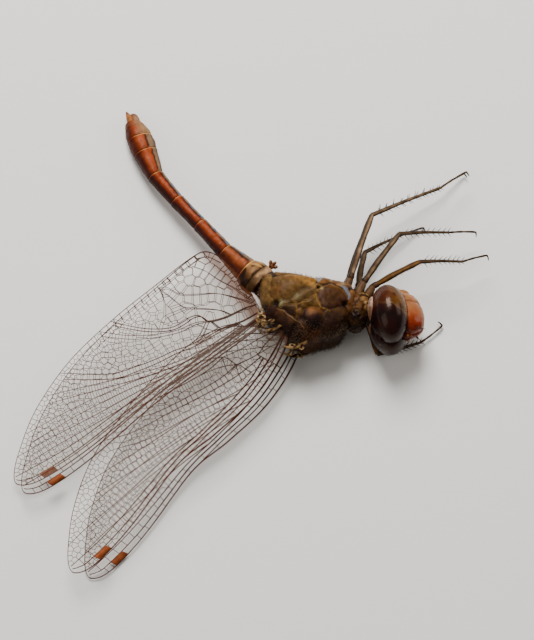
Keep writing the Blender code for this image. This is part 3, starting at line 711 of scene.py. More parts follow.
def eyeTint(x, y):
    # dark crown above a pale edge line, reddish behind, olive in front, with dark spots
    edgeX, edgeY = np.array(eyes["crownEdge"]).T
    above = np.interp(x, edgeX, edgeY) - y
    above = added(above, onPlane(x, y), eyes["edgeWaver"])
    forward = smooth(-0.3, 0.75, added(x, onPlane(x, y), eyes["frontWaver"]))
    lower = blend(colour(eyes["rear"]), colour(eyes["front"]), forward)
    lower = blend(lower, colour(eyes["below"]), 0.7 * smooth(1.3, 2.1, y))
    for sx, sy, radius in eyes["spots"]:
        mark = np.exp(-(((x - sx) ** 2 + (y - sy) ** 2) / radius**2) ** 1.3)
        lower = blend(lower, colour(eyes["spot"]), 0.85 * mark)
    crown = layered(colour(eyes["crownWarm"]), eyes["crown"], above)
    tint = blend(lower, crown, smooth(-0.1, 0.2, above))
    line = bell(above - 0.02, eyes["edgeMm"])
    return blend(tint, colour(eyes["edge"]), 0.7 * line * smooth(-1.6, 0.2, x))


for sideName, sign in (("left", 1), ("right", -1)):
    grid = ellipsoidGrid(eyes["semi"], eyes["rings"], eyes["around"], sign * eyes["lean"])
    grid = grid + np.array(eyes["centre"]) * (1, 1, sign)
    grid[..., 2] = sign * np.maximum(sign * grid[..., 2], eyes["meeting"])
    bodyPiece("compound_eye_" + sideName, headFrame, grid, eyeTint(grid[..., 0], grid[..., 1]),
              "eye facets", "compound_eye", "eye_" + sideName)
print("eyes made")

# head capsule: hard shell behind and between the eyes, pale where the back of the head shows
capsule = {"semi": (1.5, 2.1, 2.2), "centre": (-0.1, 0.3, 0.0), "base": "#6b3a20",
           "pale": "#a8775a", "dark": "#0f0704", "rings": 80, "around": 110,
           "uneven": ((0.02, 0.5, 33),)}
grid = ellipsoidGrid(capsule["semi"], capsule["rings"], capsule["around"]) + np.array(capsule["centre"])
tint = blend(colour(capsule["base"]), colour(capsule["pale"]), smooth(-0.6, -1.3, grid[..., 0]))
tint = blend(tint, colour(capsule["dark"]), smooth(-0.9, 0.3, grid[..., 0]) * smooth(0.8, -0.5, grid[..., 1]))
grid = raised(grid, added(0, grid, capsule["uneven"]))
bodyPiece("head_capsule", headFrame, grid, tint, "face chitin", "thorax_shell", "head")

# occiput: the swollen pale triangle behind the meeting eyes
occiput = {"semi": (0.5, 0.95, 0.8), "centre": (-0.95, -2.15, 0.0), "base": "#301509", "dark": "#1c0a05"}
grid = ellipsoidGrid(occiput["semi"], 50, 60)
local = grid / np.array(occiput["semi"])
tint = blend(colour(occiput["dark"]), colour(occiput["base"]),
             smooth(-0.2, -0.75, local[..., 0]) * smooth(-0.9, 0.1, local[..., 1]))
bodyPiece("occiput", headFrame, grid + np.array(occiput["centre"]), tint, "thorax chitin", "face_shell")

# back of the head: a pale hollowed rim that shows as a thin strip behind each eye
rear = {"semi": (0.55, 1.35, 1.2), "centre": (-1.33, -0.1, 1.05), "pale": "#9a7c6c", "brown": "#66452f"}
shapes = []
for sign in (1, -1):
    grid = ellipsoidGrid(rear["semi"], 50, 70)
    pale = smooth(-0.8, 0.9, ripple(grid, 0.5, 37) + 0.9 * grid[..., 1]) * smooth(-0.9, 0.2, grid[..., 1])
    tint = blend(colour(rear["brown"]), colour(rear["pale"]), pale)
    shapes.append(ringsShape(toFloor(headFrame, (grid + np.array(rear["centre"])) * (1, 1, sign)), tint))
addPiece("head_rear", shapes, "joint membrane", "face_shell")

# face: frons and clypeus in one smooth swelling with a shallow furrow between them, then the two lips
face = {
    # down the face: place towards the mouth, how far forward it reaches, half width
    "profile": ((-2.38, 1.95, 0.45), (-2.25, 2.4, 0.85), (-1.85, 2.92, 1.25), (-1.2, 3.16, 1.47),
        (-0.5, 3.22, 1.52), (0.2, 3.14, 1.54), (0.9, 2.93, 1.53), (1.35, 2.66, 1.4), (1.7, 2.25, 1.1),
        (1.86, 1.85, 0.6)),
    "middle": 1.15, "fullness": 0.85, "furrowAt": 0.42, "furrowDepth": 0.08, "cleftDepth": 0.1,
    "splitDepth": 0.06,
    "lips": {
        "upper_lip": {"semi": (0.95, 0.75, 1.3), "centre": (1.35, 1.6, 0.0), "node": "labrum"},
        "lower_lip": {"semi": (1.3, 0.6, 1.35), "centre": (0.35, 2.0, 0.0), "node": "labium"},
    },
    "rings": 150, "around": 150, "red": "#6a1e08", "dark": "#0c0503", "furrow": "#5a1a0a",
    # orange, rosy, olive yellow and the lips' colour, each with the places between which it comes in
    "bands": (("#7d300d", -2.1, -0.6), ("#8d5b38", -1.9, 0.6), ("#8a5a34", 1.0, 1.6), ("#84603f", 1.6, 2.2)),
    "bandWaver": ((0.12, 0.9, 34),), "uneven": ((0.012, 0.5, 35),),
    "furrowMm": 0.12, "cleftMm": 0.16, "splitMm": 0.07,
}


def faceTint(grid):
    # colours run down the face from deep red to orange, rosy and olive yellow, and are darkened beside the
    # eyes by painted shade
    x, y, z = grid[..., 0], grid[..., 1], np.abs(grid[..., 2])
    y = added(y, grid, face["bandWaver"])
    tint = layered(colour(face["red"]), face["bands"], y)
    return blend(tint, colour(face["dark"]), 0.85 * smooth(1.75, 1.35, x) * smooth(1.6, 0.6, y))


# middle + (reach - middle) * cos(angle)^fullness forward, and half width * sin(angle)^fullness to the side
place, reach, halfWidth = (column[:, None] for column in smoothPath(face["profile"], face["rings"]).T)
angle = (np.arange(face["around"]) * 2 * math.pi / face["around"])[None, :]
forward = face["middle"] + (reach - face["middle"]) * signedPower(np.cos(angle), face["fullness"])
grid = np.stack([forward, np.broadcast_to(place, forward.shape),
                 halfWidth * signedPower(np.sin(angle), face["fullness"])], -1)
furrow = bell(grid[..., 1] - face["furrowAt"], face["furrowMm"])
cleft = bell(grid[..., 2], face["cleftMm"]) * smooth(-0.2, -1.0, grid[..., 1])
# painted shade: the furrow colour darkens the furrow and the middle cleft
tint = blend(faceTint(grid), colour(face["furrow"]), 0.5 * np.maximum(furrow, 0.8 * cleft))
dent = added(0, grid, face["uneven"]) - face["furrowDepth"] * furrow - face["cleftDepth"] * cleft
grid = raised(grid, dent)
bodyPiece("face_front", headFrame, grid, tint, "face chitin", "face_shell", "frons", "clypeus")
for name, plate in face["lips"].items():
    grid = ellipsoidGrid(plate["semi"], 80, 110, 0.0, 0.9)
    local = grid / np.array(plate["semi"])
    grid = grid + np.array(plate["centre"])
    split = bell(grid[..., 2], face["splitMm"])
    # painted shade: each lip is darker along its middle split
    tint = blend(faceTint(grid), colour(face["dark"]), 0.5 * split)
    blotched = 0.6 + 0.4 * np.sign(ripple(grid, 0.35, 36))
    tint = blend(tint, colour(face["dark"]), 0.6 * smooth(0.45, 0.8, local[..., 1]) * blotched)
    grid = raised(grid, added(0, grid, face["uneven"]) - face["splitDepth"] * split)
    bodyPiece(name, headFrame, grid, tint, "face chitin", "dark_shell", plate["node"])
print("face made")

# vertex: the small hump between eyes and frons, with three simple eyes on it
vertex = {"semi": (0.5, 0.5, 0.6), "centre": (1.4, -2.3, 0.0), "base": "#1d0804", "tip": "#471208",
          "ocellus": "#7a4a1e", "ocellusRadius": 0.11, "cleftDepth": 0.09, "cleftMm": 0.14,
          "ocelli": ((1.8, -2.5, 0.0), (1.45, -2.68, 0.36), (1.45, -2.68, -0.36))}
grid = ellipsoidGrid(vertex["semi"], 60, 80)
tint = blend(colour(vertex["base"]), colour(vertex["tip"]),
             smooth(0.2, -0.6, grid[..., 1] / vertex["semi"][1]))
cleft = bell(grid[..., 2], vertex["cleftMm"]) * smooth(0.0, -0.4, grid[..., 1])
grid = raised(grid, -vertex["cleftDepth"] * cleft) + np.array(vertex["centre"])
shapes = [ringsShape(toFloor(headFrame, grid), tint)]
for place in vertex["ocelli"]:
    bead = ellipsoidGrid((vertex["ocellusRadius"],) * 3, 14, 20) + np.array(place)
    beadTint = np.broadcast_to(colour(vertex["ocellus"]), bead.shape)
    shapes.append(ringsShape(toFloor(headFrame, bead), beadTint))
addPiece("vertex_ocelli", shapes, "thorax chitin", "face_shell", "vertex")

# feelers: a thick first joint, a second one, then a bristle-fine whip
feelers = {
    "path": ((2.1, -1.95, 0.55), (2.32, -2.12, 0.68), (2.52, -2.27, 0.8), (2.75, -2.48, 0.95),
        (3.0, -2.7, 1.15)),
    "colour": "#3a1d10", "tip": "#1a0d08",
    # share of the length with the radius there
    "thick": ((0, 0.13), (0.1, 0.15), (0.2, 0.12), (0.24, 0.09), (0.36, 0.085), (0.4, 0.04), (0.7, 0.03),
        (1, 0.02)),
}
for sideName, sign in (("left", 1), ("right", -1)):
    line = toFloor(headFrame, smoothPath(np.array(feelers["path"]) * (1, 1, sign), 40))
    t = np.linspace(0, 1, 40)
    thick = np.interp(t, *np.array(feelers["thick"]).T)
    tint = blend(colour(feelers["colour"]), colour(feelers["tip"]), t)[:, None]
    rings = limb(line, thick, thick, (0, 0, 1), 10)
    addPiece("feeler_" + sideName, [ringsShape(rings, tint)], "leg chitin", "leg_shell",
             "antenna_" + sideName)
print("vertex and feelers made")

# abdomen: ten shell rings one behind the other, turn round the ring from the belly, v from front to rear
abdomen = {
    "start": (-0.36, 3.28, 2.66), "startSize": (2.4, 3.1), "fall": 5.2, "around": 108, "rowMm": 0.055,
    # fullness of the belly side at a place counted in rings from the front
    "bellyDepth": ((0, 0.92), (6, 0.92), (6.6, 1.12), (7.5, 1.26), (8.5, 1.24), (9.5, 1.1), (10, 1.0)),
    # length, heading, rear width, rear depth, swelling, side colour, back colour; the darker back colour is
    # partly the ring's own darkened colour and partly painted shade
    "rings": (
        (0.7, 137, 2.55, 3.3, 0.02, "#977350", "#4a3018"),
        (1.31, 136.7, 2.15, 2.55, 0.14, "#78522f", "#23120a"),
        (2.8, 135, 1.55, 1.65, 0.03, "#7f3a17", "#3c1309"),
        (3.7, 130, 1.4, 1.45, 0.02, "#80300e", "#2b0a04"),
        (3.35, 131, 1.4, 1.45, 0.0, "#802d0d", "#290903"),
        (3.3, 128, 1.55, 1.6, 0.0, "#802e0d", "#270903"),
        (2.65, 115, 2.0, 2.05, 0.03, "#853412", "#320d05"),
        (1.65, 112, 1.95, 2.05, 0.06, "#853310", "#3a1006"),
        (1.15, 108, 1.6, 1.8, 0.08, "#7f3013", "#3e1207"),
        (0.75, 108, 1.15, 1.4, 0.05, "#753a20", "#4c1f10"),
    ),
    "belt": "#cc9a55", "beltBack": "#7c2e0c", "line": "#0b090b", "margin": "#765a42", "marginBlue": "#585c64",
    "tailBelly": "#835f3e", "plate": "#4d3326", "dot": "#2a0904", "gap": "#240a05", "blot": "#150b06",
    "flare": 0.035, "lip": 0.09, "tuck": 0.05, "keel": 0.03, "dent": 0.012, "beltMm": 0.1,
    "broadBeltMm": 0.16,
    "marginAngle": 60, "lineWidth": (10.0, 5.0), "keelTurn": 0.07, "carinaMm": 0.035,
    # dark dots: share of the ring's length, angle from the belly, radius
    "dots": ((0.16, 84, 0.09), (0.2, 70, 0.05), (0.55, 88, 0.05)),
}


def abdomenJoints():
    # joint places one segment length apart, and at each joint the mean direction of its two segments
    place, joints, ways = np.array(abdomen["start"]), [np.array(abdomen["start"])], []
    for length, heading in (ring[:2] for ring in abdomen["rings"]):
        ways.append(direction(heading, -abdomen["fall"]))
        place = place + ways[-1] * length
        joints.append(place)
    ends = [ways[0]] + [(a + b) / np.linalg.norm(a + b) for a, b in zip(ways, ways[1:])] + [ways[-1]]
    return np.array(joints), np.array(ways), np.array(ends)


joints, ways, ends = abdomenJoints()


def abdomenRing(k):
    # ellipse rings from joint k to the next: half width and depth run evenly with a sine swelling, the rear
    # edge flares and the front one tucks under the ring before it
    length, heading, width, depth, swelling, side, back = abdomen["rings"][k]
    before = abdomen["startSize"] if k == 0 else abdomen["rings"][k - 1][2:4]
    rows = int(length / abdomen["rowMm"]) + 14
    v = np.concatenate([[-0.035], np.linspace(-0.015, 0.93, rows - 9), np.linspace(0.94, 1.0, 8)])
    inside = np.clip(v, 0, 1)
    middle = joints[k] + (joints[k + 1] - joints[k]) * v[:, None]
    axis = ends[k] + (ends[k + 1] - ends[k]) * inside[:, None]
    axis /= np.linalg.norm(axis, axis=1, keepdims=True)
    belly = np.stack([axis[:, 1], -axis[:, 0], axis[:, 2] * 0], 1)
    belly /= np.linalg.norm(belly, axis=1, keepdims=True)
    left = np.cross(belly, axis)
    left *= np.sign(left[:, 2:3])
    swell = 2 * swelling * np.sin(np.pi * inside) ** 0.8
    edge = (abdomen["flare"] * smooth(0.8, 0.97, v) - abdomen["lip"] * smooth(0.985, 1.0, v)
            - abdomen["tuck"] * smooth(0.07, 0.0, v))
    wide = (before[0] + (width - before[0]) * inside + swell) / 2 + edge
    deep = (before[1] + (depth - before[1]) * inside + swell) / 2 + edge
    turn = (np.arange(abdomen["around"]) * 2 * math.pi / abdomen["around"])[None, :]
    # the belly side is fuller on some rings, and a low keel runs along the middle of the back
    fuller = np.interp(k + inside, *np.array(abdomen["bellyDepth"]).T)[:, None]
    rise = np.cos(turn) * np.where(np.cos(turn) > 0, fuller, 1.0) * deep[:, None]
    rise = rise - abdomen["keel"] * bell(np.minimum(np.abs(turn - math.pi), 1), abdomen["keelTurn"])
    across = np.sin(turn) * wide[:, None]
    grid = middle[:, None] + belly[:, None] * rise[..., None] + left[:, None] * across[..., None]
    return (*np.broadcast_arrays(v[:, None], turn), length, grid, colour(side), colour(back))


def abdomenTint(k, v, turn, length, grid, side, back):
    # rust side, maroon back that is partly painted shade, straw belt at the rear edge, black broken line over
    # a pale belly margin
    away = np.degrees(np.minimum(turn, 2 * math.pi - turn)) + 2 * ripple(grid, 0.9, 40 + k)
    # painted shade in part: the ring darkens to its back colour on the side away from the light
    tint = blend(side, back, smooth(88, 130, away))
    tint = blend(tint, back, 0.35 * smooth(0.25, 0.0, v))
    if k >= 2:
        # soft pale fold, blue-grey in places, along each side of a brown belly plate
        grey = smooth(-0.2, 0.6, ripple(grid, 1.0, 60 + k)) * (k < 6)
        margin = blend(colour(abdomen["margin"]), colour(abdomen["marginBlue"]), grey)
        margin = blend(colour(abdomen["plate"]), margin, smooth(29, 37, away))
        limit = abdomen["marginAngle"] - 6 * smooth(0.3, 0.9, v) + (4 if k > 6 else 0)
        tint = blend(tint, margin, smooth(limit + 3, limit - 3, away))
        if k < 8:
            broad = abdomen["lineWidth"][0 if k < 6 else 1]
            stroke = bell(added(away - limit - 2, grid, ((1.5, 0.5, 80 + k),)), broad)
            broken = (smooth(0.04, 0.12, v) * smooth(0.97, 0.88, v)
                      * smooth(-1.6, -0.8, ripple(grid, 1.3, 50 + k)))
            tint = blend(tint, colour(abdomen["line"]), 0.95 * stroke * broken)
    if k < 2:
        patchy = ripple(grid, 0.85, 120) + 0.5 * smooth(70, 110, away) - 0.6 * smooth(60, 30, away)
        tint = blend(tint, colour(abdomen["blot"]), (0.85 if k else 0.5) * smooth(0.15, 0.75, patchy))
        straw = smooth(0.5, 1.1, ripple(grid, 0.7, 121)) * smooth(90, 60, away)
        tint = blend(tint, colour(abdomen["belt"]), 0.5 * straw)
    if k > 7:
        tint = blend(tint, colour(abdomen["tailBelly"]), 0.85 * smooth(100, 60, away))
    for dotV, dotAngle, radius in abdomen["dots"]:
        reach = np.hypot((v - dotV) * length, np.radians(away - dotAngle) * 0.9) / radius
        tint = blend(tint, colour(abdomen["dot"]), 0.7 * np.exp(-reach**2))
    if 0 < k < 8:
        beltMm = abdomen["broadBeltMm"] if k == 1 else abdomen["beltMm"]
        belt = blend(colour(abdomen["belt"]), colour(abdomen["beltBack"]), smooth(70, 140, away))
        tint = blend(tint, belt, 0.9 * smooth(1 - beltMm / length, 1 - 0.05 / length, v))
    if k in (2, 3, 4):
        carina = bell((v - (0.34 if k == 2 else 0.9)) * length, abdomen["carinaMm"]) * smooth(40, 60, away)
        tint = blend(tint, colour(abdomen["gap"]), 0.6 * carina)
    return blend(tint, colour(abdomen["gap"]), smooth(0.035, 0.0, v))


for k in range(len(abdomen["rings"])):
    v, turn, length, grid, side, back = abdomenRing(k)
    tint = abdomenTint(k, v, turn, length, grid, side, back)
    tint = tint * added(1, grid, ((0.1, 0.6, 90 + k),))[..., None]
    grid = raised(grid, abdomen["dent"] * ripple(grid, 0.8, 70 + k) * smooth(0, 0.1, v))
    name = "abdomen_%02d" % (k + 1)
    shape = ringsShape(grid, np.clip(tint, 0.003, 1))
    addPiece(name + "_shell", [shape], "abdomen chitin", "abdomen_shell", name)
print("abdomen made")

# tail: two upper claspers, the plate under them, and the little hooks under the second ring
tail = {
    "colour": "#86502a", "tip": "#4a2210", "hook": "#42200f", "plate": "#9a7358", "hookTip": "#7a5130",
    "bellyHeading": 20, "clasperRise": 0.27, "hookReach": 1.72,
    # claspers: (towards the rear, towards the back, share of the rise lost inwards), then their thickness
    "clasper": ((0, 0, 0), (0.6, 0.03, 0), (1.05, 0.08, 0.5), (1.5, 0.13, 0.75)),
    "clasperThick": ((0, 0.24), (0.15, 0.28), (0.5, 0.26), (0.75, 0.17), (0.93, 0.07), (1, 0.025)),
    # hooks: (to the rear, out, up, curl, size), then thickness along them
    "hooks": ((0.0, 0.5, 0.1, 0.3, 0.24), (0.42, 0.42, 0.2, 0.25, 0.2), (-0.35, 0.45, -0.1, -0.25, 0.22),
        (0.2, 0.66, -0.25, -0.1, 0.17), (-0.15, 0.6, 0.35, 0.2, 0.18), (0.3, 0.3, 0.42, 0.3, 0.2),
        (-0.45, 0.28, 0.3, -0.3, 0.2)),
    "hookThick": ((0, 0.9), (0.3, 0.75), (0.7, 1.0), (0.92, 0.7), (1, 0.25)),
    "plateUneven": ((0.02, 0.25, 105),), "hookUneven": ((0.03, 0.25, 103),),
}
rear, rearWay = joints[-1], ways[-1]
tailBelly, floorUp = direction(tail["bellyHeading"]), np.array([0, 0, 1.0])
t = np.linspace(0, 1, 40)
for sideName, rise in (("left", tail["clasperRise"]), ("right", -tail["clasperRise"])):
    root = rear - rearWay * 0.1 + floorUp * (rise * 0.9) - tailBelly * 0.12
    line = smoothPath([root + rearWay * along - tailBelly * back + floorUp * (-rise * inwards)
                       for along, back, inwards in tail["clasper"]], 40)
    thick = np.interp(t, *np.array(tail["clasperThick"]).T)
    rings = limb(line, thick * 1.15, thick, (0, 0, 1), 24)
    tint = blend(colour(tail["colour"]), colour(tail["tip"]), smooth(0.5, 1.0, t))[:, None]
    addPiece("clasper_" + sideName, [ringsShape(rings, tint)], "abdomen chitin", "dark_shell",
             "cercus_" + sideName)
root = rear - rearWay * 0.15 + tailBelly * 0.34
line = smoothPath([root, root + rearWay * 0.55, root + rearWay * 1.1 - tailBelly * 0.16], 40)
thick = np.sqrt(np.clip(1 - (t * 0.98) ** 3, 0, 1))
rings = limb(line, 0.44 * thick, 0.38 * thick, tailBelly, 24)
rings = raised(rings, added(0, rings, tail["plateUneven"]))
addPiece("tail_plate", [ringsShape(rings, blend(colour(tail["plate"]), colour(tail["tip"]), t)[:, None])],
         "abdomen chitin", "dark_shell", "epiproct")
away = np.cross(ways[1], (0, 0, 1))
bump = joints[1] - ways[1] * 0.1 + away * tail["hookReach"]
hooks = []
for along, out, rise, curl, size in tail["hooks"]:
    line = smoothPath([bump - away * 0.25,
                       bump + ways[1] * along * 0.6 + away * out * 0.5 + floorUp * (rise * 0.6),
                       bump + ways[1] * (along + curl * 0.4) + away * out + floorUp * rise], 30)
    thick = np.interp(np.linspace(0, 1, 30), *np.array(tail["hookThick"]).T) * size * 0.8
    rings = limb(line, thick, thick, (0.3, 0.2, 1), 16)
    rings = raised(rings, added(0, rings, tail["hookUneven"]))
    mottled = smooth(-0.4, 0.6, ripple(rings, 0.4, 104))
    hooks.append(ringsShape(rings, blend(colour(tail["hook"]), colour(tail["hookTip"]), mottled)))
addPiece("hook_lobes", hooks, "leg chitin", "dark_shell", "hamules")
print("tail and hooks made")

# legs: root on the body, then thigh, shin and foot as (length, heading, rise)
legs = {
    "bones": {
        "hind_left": ((7.55, 3.42, 3.4), (6.4, 71, 8), (7.25, 26, -8), (3.1, 38, -15)),
        "mid_left": ((8.75, 3.1, 3.35), (5.7, 54, 6), (4.75, 6, -11), (2.55, 8, -18)),
        "fore_left": ((9.6, 2.75, 3.35), (4.85, 27, 7), (4.0, 4, -10), (2.45, 20, -14)),
        "hind_right": ((7.25, 3.45, 1.9), (6.96, 70, 8.3), (7.45, 27.5, -12.4), (3.12, 38.2, -15.8)),
        "mid_right": ((8.3, 3.1, 1.95), (3.65, 79, -1), (4.1, 31, -14), (2.4, 26, -16)),
        "fore_right": ((8.78, 2.3, 0.85), (5.22, -75.5, -4.5), (4.15, 16, 0), (2.46, 40, -2)),
    },
    "hipLength": 1.3, "dark": "#150b06", "stripeAndHighlight": "#8a6c50", "warm": "#3a240c", "hip": "#4a3320",
    # radii along each bone
    "hipRadii": (0.4, 0.43, 0.37, 0.3), "ringRadii": (0.24, 0.31, 0.25),
    "thigh": (0.21, 0.27, 0.28, 0.25, 0.23, 0.26, 0.19), "shin": (0.2, 0.19, 0.15, 0.135, 0.125, 0.12),
    "foot": (0.11, 0.1, 0.095), "footCuts": (0.0, 0.2, 0.52, 1.0), "claw": (0.06, 0.05, 0.035, 0.012),
    # spines: number in a row, length, lean to the foot, place off the bone's middle, first place along it,
    # and for each of the two rows how far they point inwards and across
    "spine": "#0c0604", "spineRadius": 0.045,
    "shinSpines": (9, 0.9, 0.75, 0.12, 0.1, ((0.7, 0.45), (-0.7, 0.45))),
    "thighSpines": (13, 0.3, 0.35, 0.24, 0.2, ((0.7, 0.6), (0.7, -0.6))),
}


def limbShape(path, radii, face, edge, flat=1.0, keel=0.05, sides=20):
    # a bone striped by angle: edge colour along its upper side, partly a real pale stripe and partly a
    # painted highlight where the bone faces up, face colour round the rest
    wide = np.interp(np.linspace(0, 1, len(path)), np.linspace(0, 1, len(radii)), radii)
    rings = limb(path, wide, wide * flat, (0.0, 0.0, 1.0), sides, keel)
    share = np.clip(np.sin(np.arange(sides) * 2 * math.pi / sides + 0.35), 0, 1) ** 4
    tint = blend(face, edge, share[None, :] * (0.8 + 0.2 * ripple(path, 1.4, 102))[:, None].clip(0.3, 1))
    tint = tint * (1 + 0.25 * ripple(rings, 0.9, 101))[..., None]
    return ringsShape(rings, np.clip(tint, 0.003, 1))


def spines(rows, rng):
    # two rows of bristles on the inner side of each bone, leaning towards the foot
    roots, tips = [], []
    for line, inner, (count, size, lean, off, first, aims) in rows:
        run = line[-1] - line[0]
        run /= np.linalg.norm(run)
        outward = np.cross(run, inner)
        for inwards, across in aims:
            t = np.linspace(first, 0.97, count) + rng.uniform(-0.012, 0.012, count)
            spot = alongPath(t, np.linspace(0, 1, len(line)), line)
            way = inner * inwards + outward * across + run * lean
            way = way / np.linalg.norm(way) + rng.normal(0, 0.06, (count, 3))
            roots.append(spot + way / np.linalg.norm(way, axis=1, keepdims=True) * off * 0.7)
            tips.append(roots[-1] + way * size * rng.uniform(0.8, 1.1, (count, 1)) * (1 - 0.35 * t[:, None]))
    roots, tips = np.vstack(roots), np.vstack(tips)
    tips[:, 2] = np.maximum(tips[:, 2], 0.03)
    return bristles(roots, tips, legs["spineRadius"], colour(legs["spine"]), 5, (tips - roots) * 0.02)


def legPiece(name):
    # hip, thigh, shin and foot follow one another from the root, each a limb of its own
    root, thigh, shin, foot = legs["bones"][name]
    hip = np.array(root)
    inward = -direction(pose["thoraxHeading"] + 90)
    if "fore" in name:
        inward = np.array(pose["prothoraxPlace"]) - hip
        inward /= np.linalg.norm(inward)
    runs = [direction(bone[1], bone[2]) for bone in (thigh, shin, foot)]
    knee = hip + runs[0] * thigh[0]
    ankle = knee + runs[1] * shin[0]
    toe = ankle + runs[2] * foot[0]
    start = hip + inward * legs["hipLength"]
    rng = np.random.default_rng(sum(map(ord, name)))
    dark, stripeAndHighlight, hipTint = (colour(legs[key]) for key in ("dark", "stripeAndHighlight", "hip"))
    warm = colour(legs["warm"]) if "fore" in name else dark * 1.6
    stripeAndHighlight = stripeAndHighlight * (1.0 if "hind" in name else 0.55)
    # hip: a short thick cone, then the small ring that carries the thigh
    # painted light: the hip is a shaded copy of its colour with a lit copy along its upper side
    shapes = [limbShape(smoothPath([start, (start + hip) / 2, hip], 22), legs["hipRadii"], hipTint * 0.75,
                        hipTint * 1.3, 1.0, 0.03),
              limbShape(smoothPath([hip - runs[0] * 0.12, hip + runs[0] * 0.25, hip + runs[0] * 0.62], 16),
                        legs["ringRadii"], dark * 1.5, hipTint, 1.0, 0.02)]
    # thigh: keeled, swollen near its root, with a knob at the knee
    inner = runs[1] - runs[0] * (runs[1] @ runs[0])
    inner /= np.linalg.norm(inner)
    thighLine = smoothPath([hip + runs[0] * 0.45, hip + runs[0] * thigh[0] * 0.5 - inner * 0.07, knee], 60)
    # painted highlight in part: the thigh's upper side is the pale stripe, or on the fore legs a lit copy of
    # its own colour
    thighStripeAndHighlight = warm * 2.6 if "fore" in name else stripeAndHighlight
    shapes.append(limbShape(thighLine, legs["thigh"], warm, thighStripeAndHighlight, 0.92, 0.09, 28))
    # shin: thin, square, slightly bowed
    back = -(runs[0] - runs[1] * (runs[0] @ runs[1]))
    back /= np.linalg.norm(back)
    shinLine = smoothPath([knee - runs[1] * 0.05, knee + runs[1] * shin[0] * 0.08,
                           knee + runs[1] * shin[0] * 0.5 - back * 0.06, ankle], 60)
    shapes.append(limbShape(shinLine, legs["shin"], dark * 1.3, stripeAndHighlight * 0.6, 0.9, 0.06, 14))
    # foot: three joints with a step between them, its end bent over, and two hooked claws
    over = np.cross(runs[2], (0.0, 0.0, 1.0)) * (-1 if name == "fore_right" else 1)
    feet = smoothPath([ankle, ankle + runs[2] * foot[0] * 0.5 - over * 0.06, toe - over * 0.02,
                       toe + runs[2] * 0.12 + over * 0.12], 70)
    for a, b, size in zip(legs["footCuts"], legs["footCuts"][1:], legs["foot"]):
        piece = feet[int(a * 69):int(b * 69) + 1]
        radii = (size * 0.75, size, size * 1.05, size * 0.85)
        shapes.append(limbShape(piece, radii, dark, stripeAndHighlight * 0.4, 1.0, 0.0, 10))
    for sign in (1, -1):
        claw = smoothPath([feet[-3], feet[-1] + over * 0.16 + np.array([0, 0, 0.09 * sign]),
                           feet[-1] + over * 0.42 - runs[2] * 0.06 + np.array([0, 0, 0.05 * sign])], 14)
        shapes.append(limbShape(claw, legs["claw"], dark, dark, 1.0, 0.0, 8))
    rows = ((shinLine, back, legs["shinSpines"]), (thighLine, inner, legs["thighSpines"]))
    shapes.append(spines(rows, rng))
    addPiece("leg_" + name, shapes, "leg chitin", "leg_shell",
             *["leg_%s_%s" % (name, bone) for bone in ("coxa", "femur", "tibia", "tarsus")])


for name in legs["bones"]:
    legPiece(name)
print("legs made")

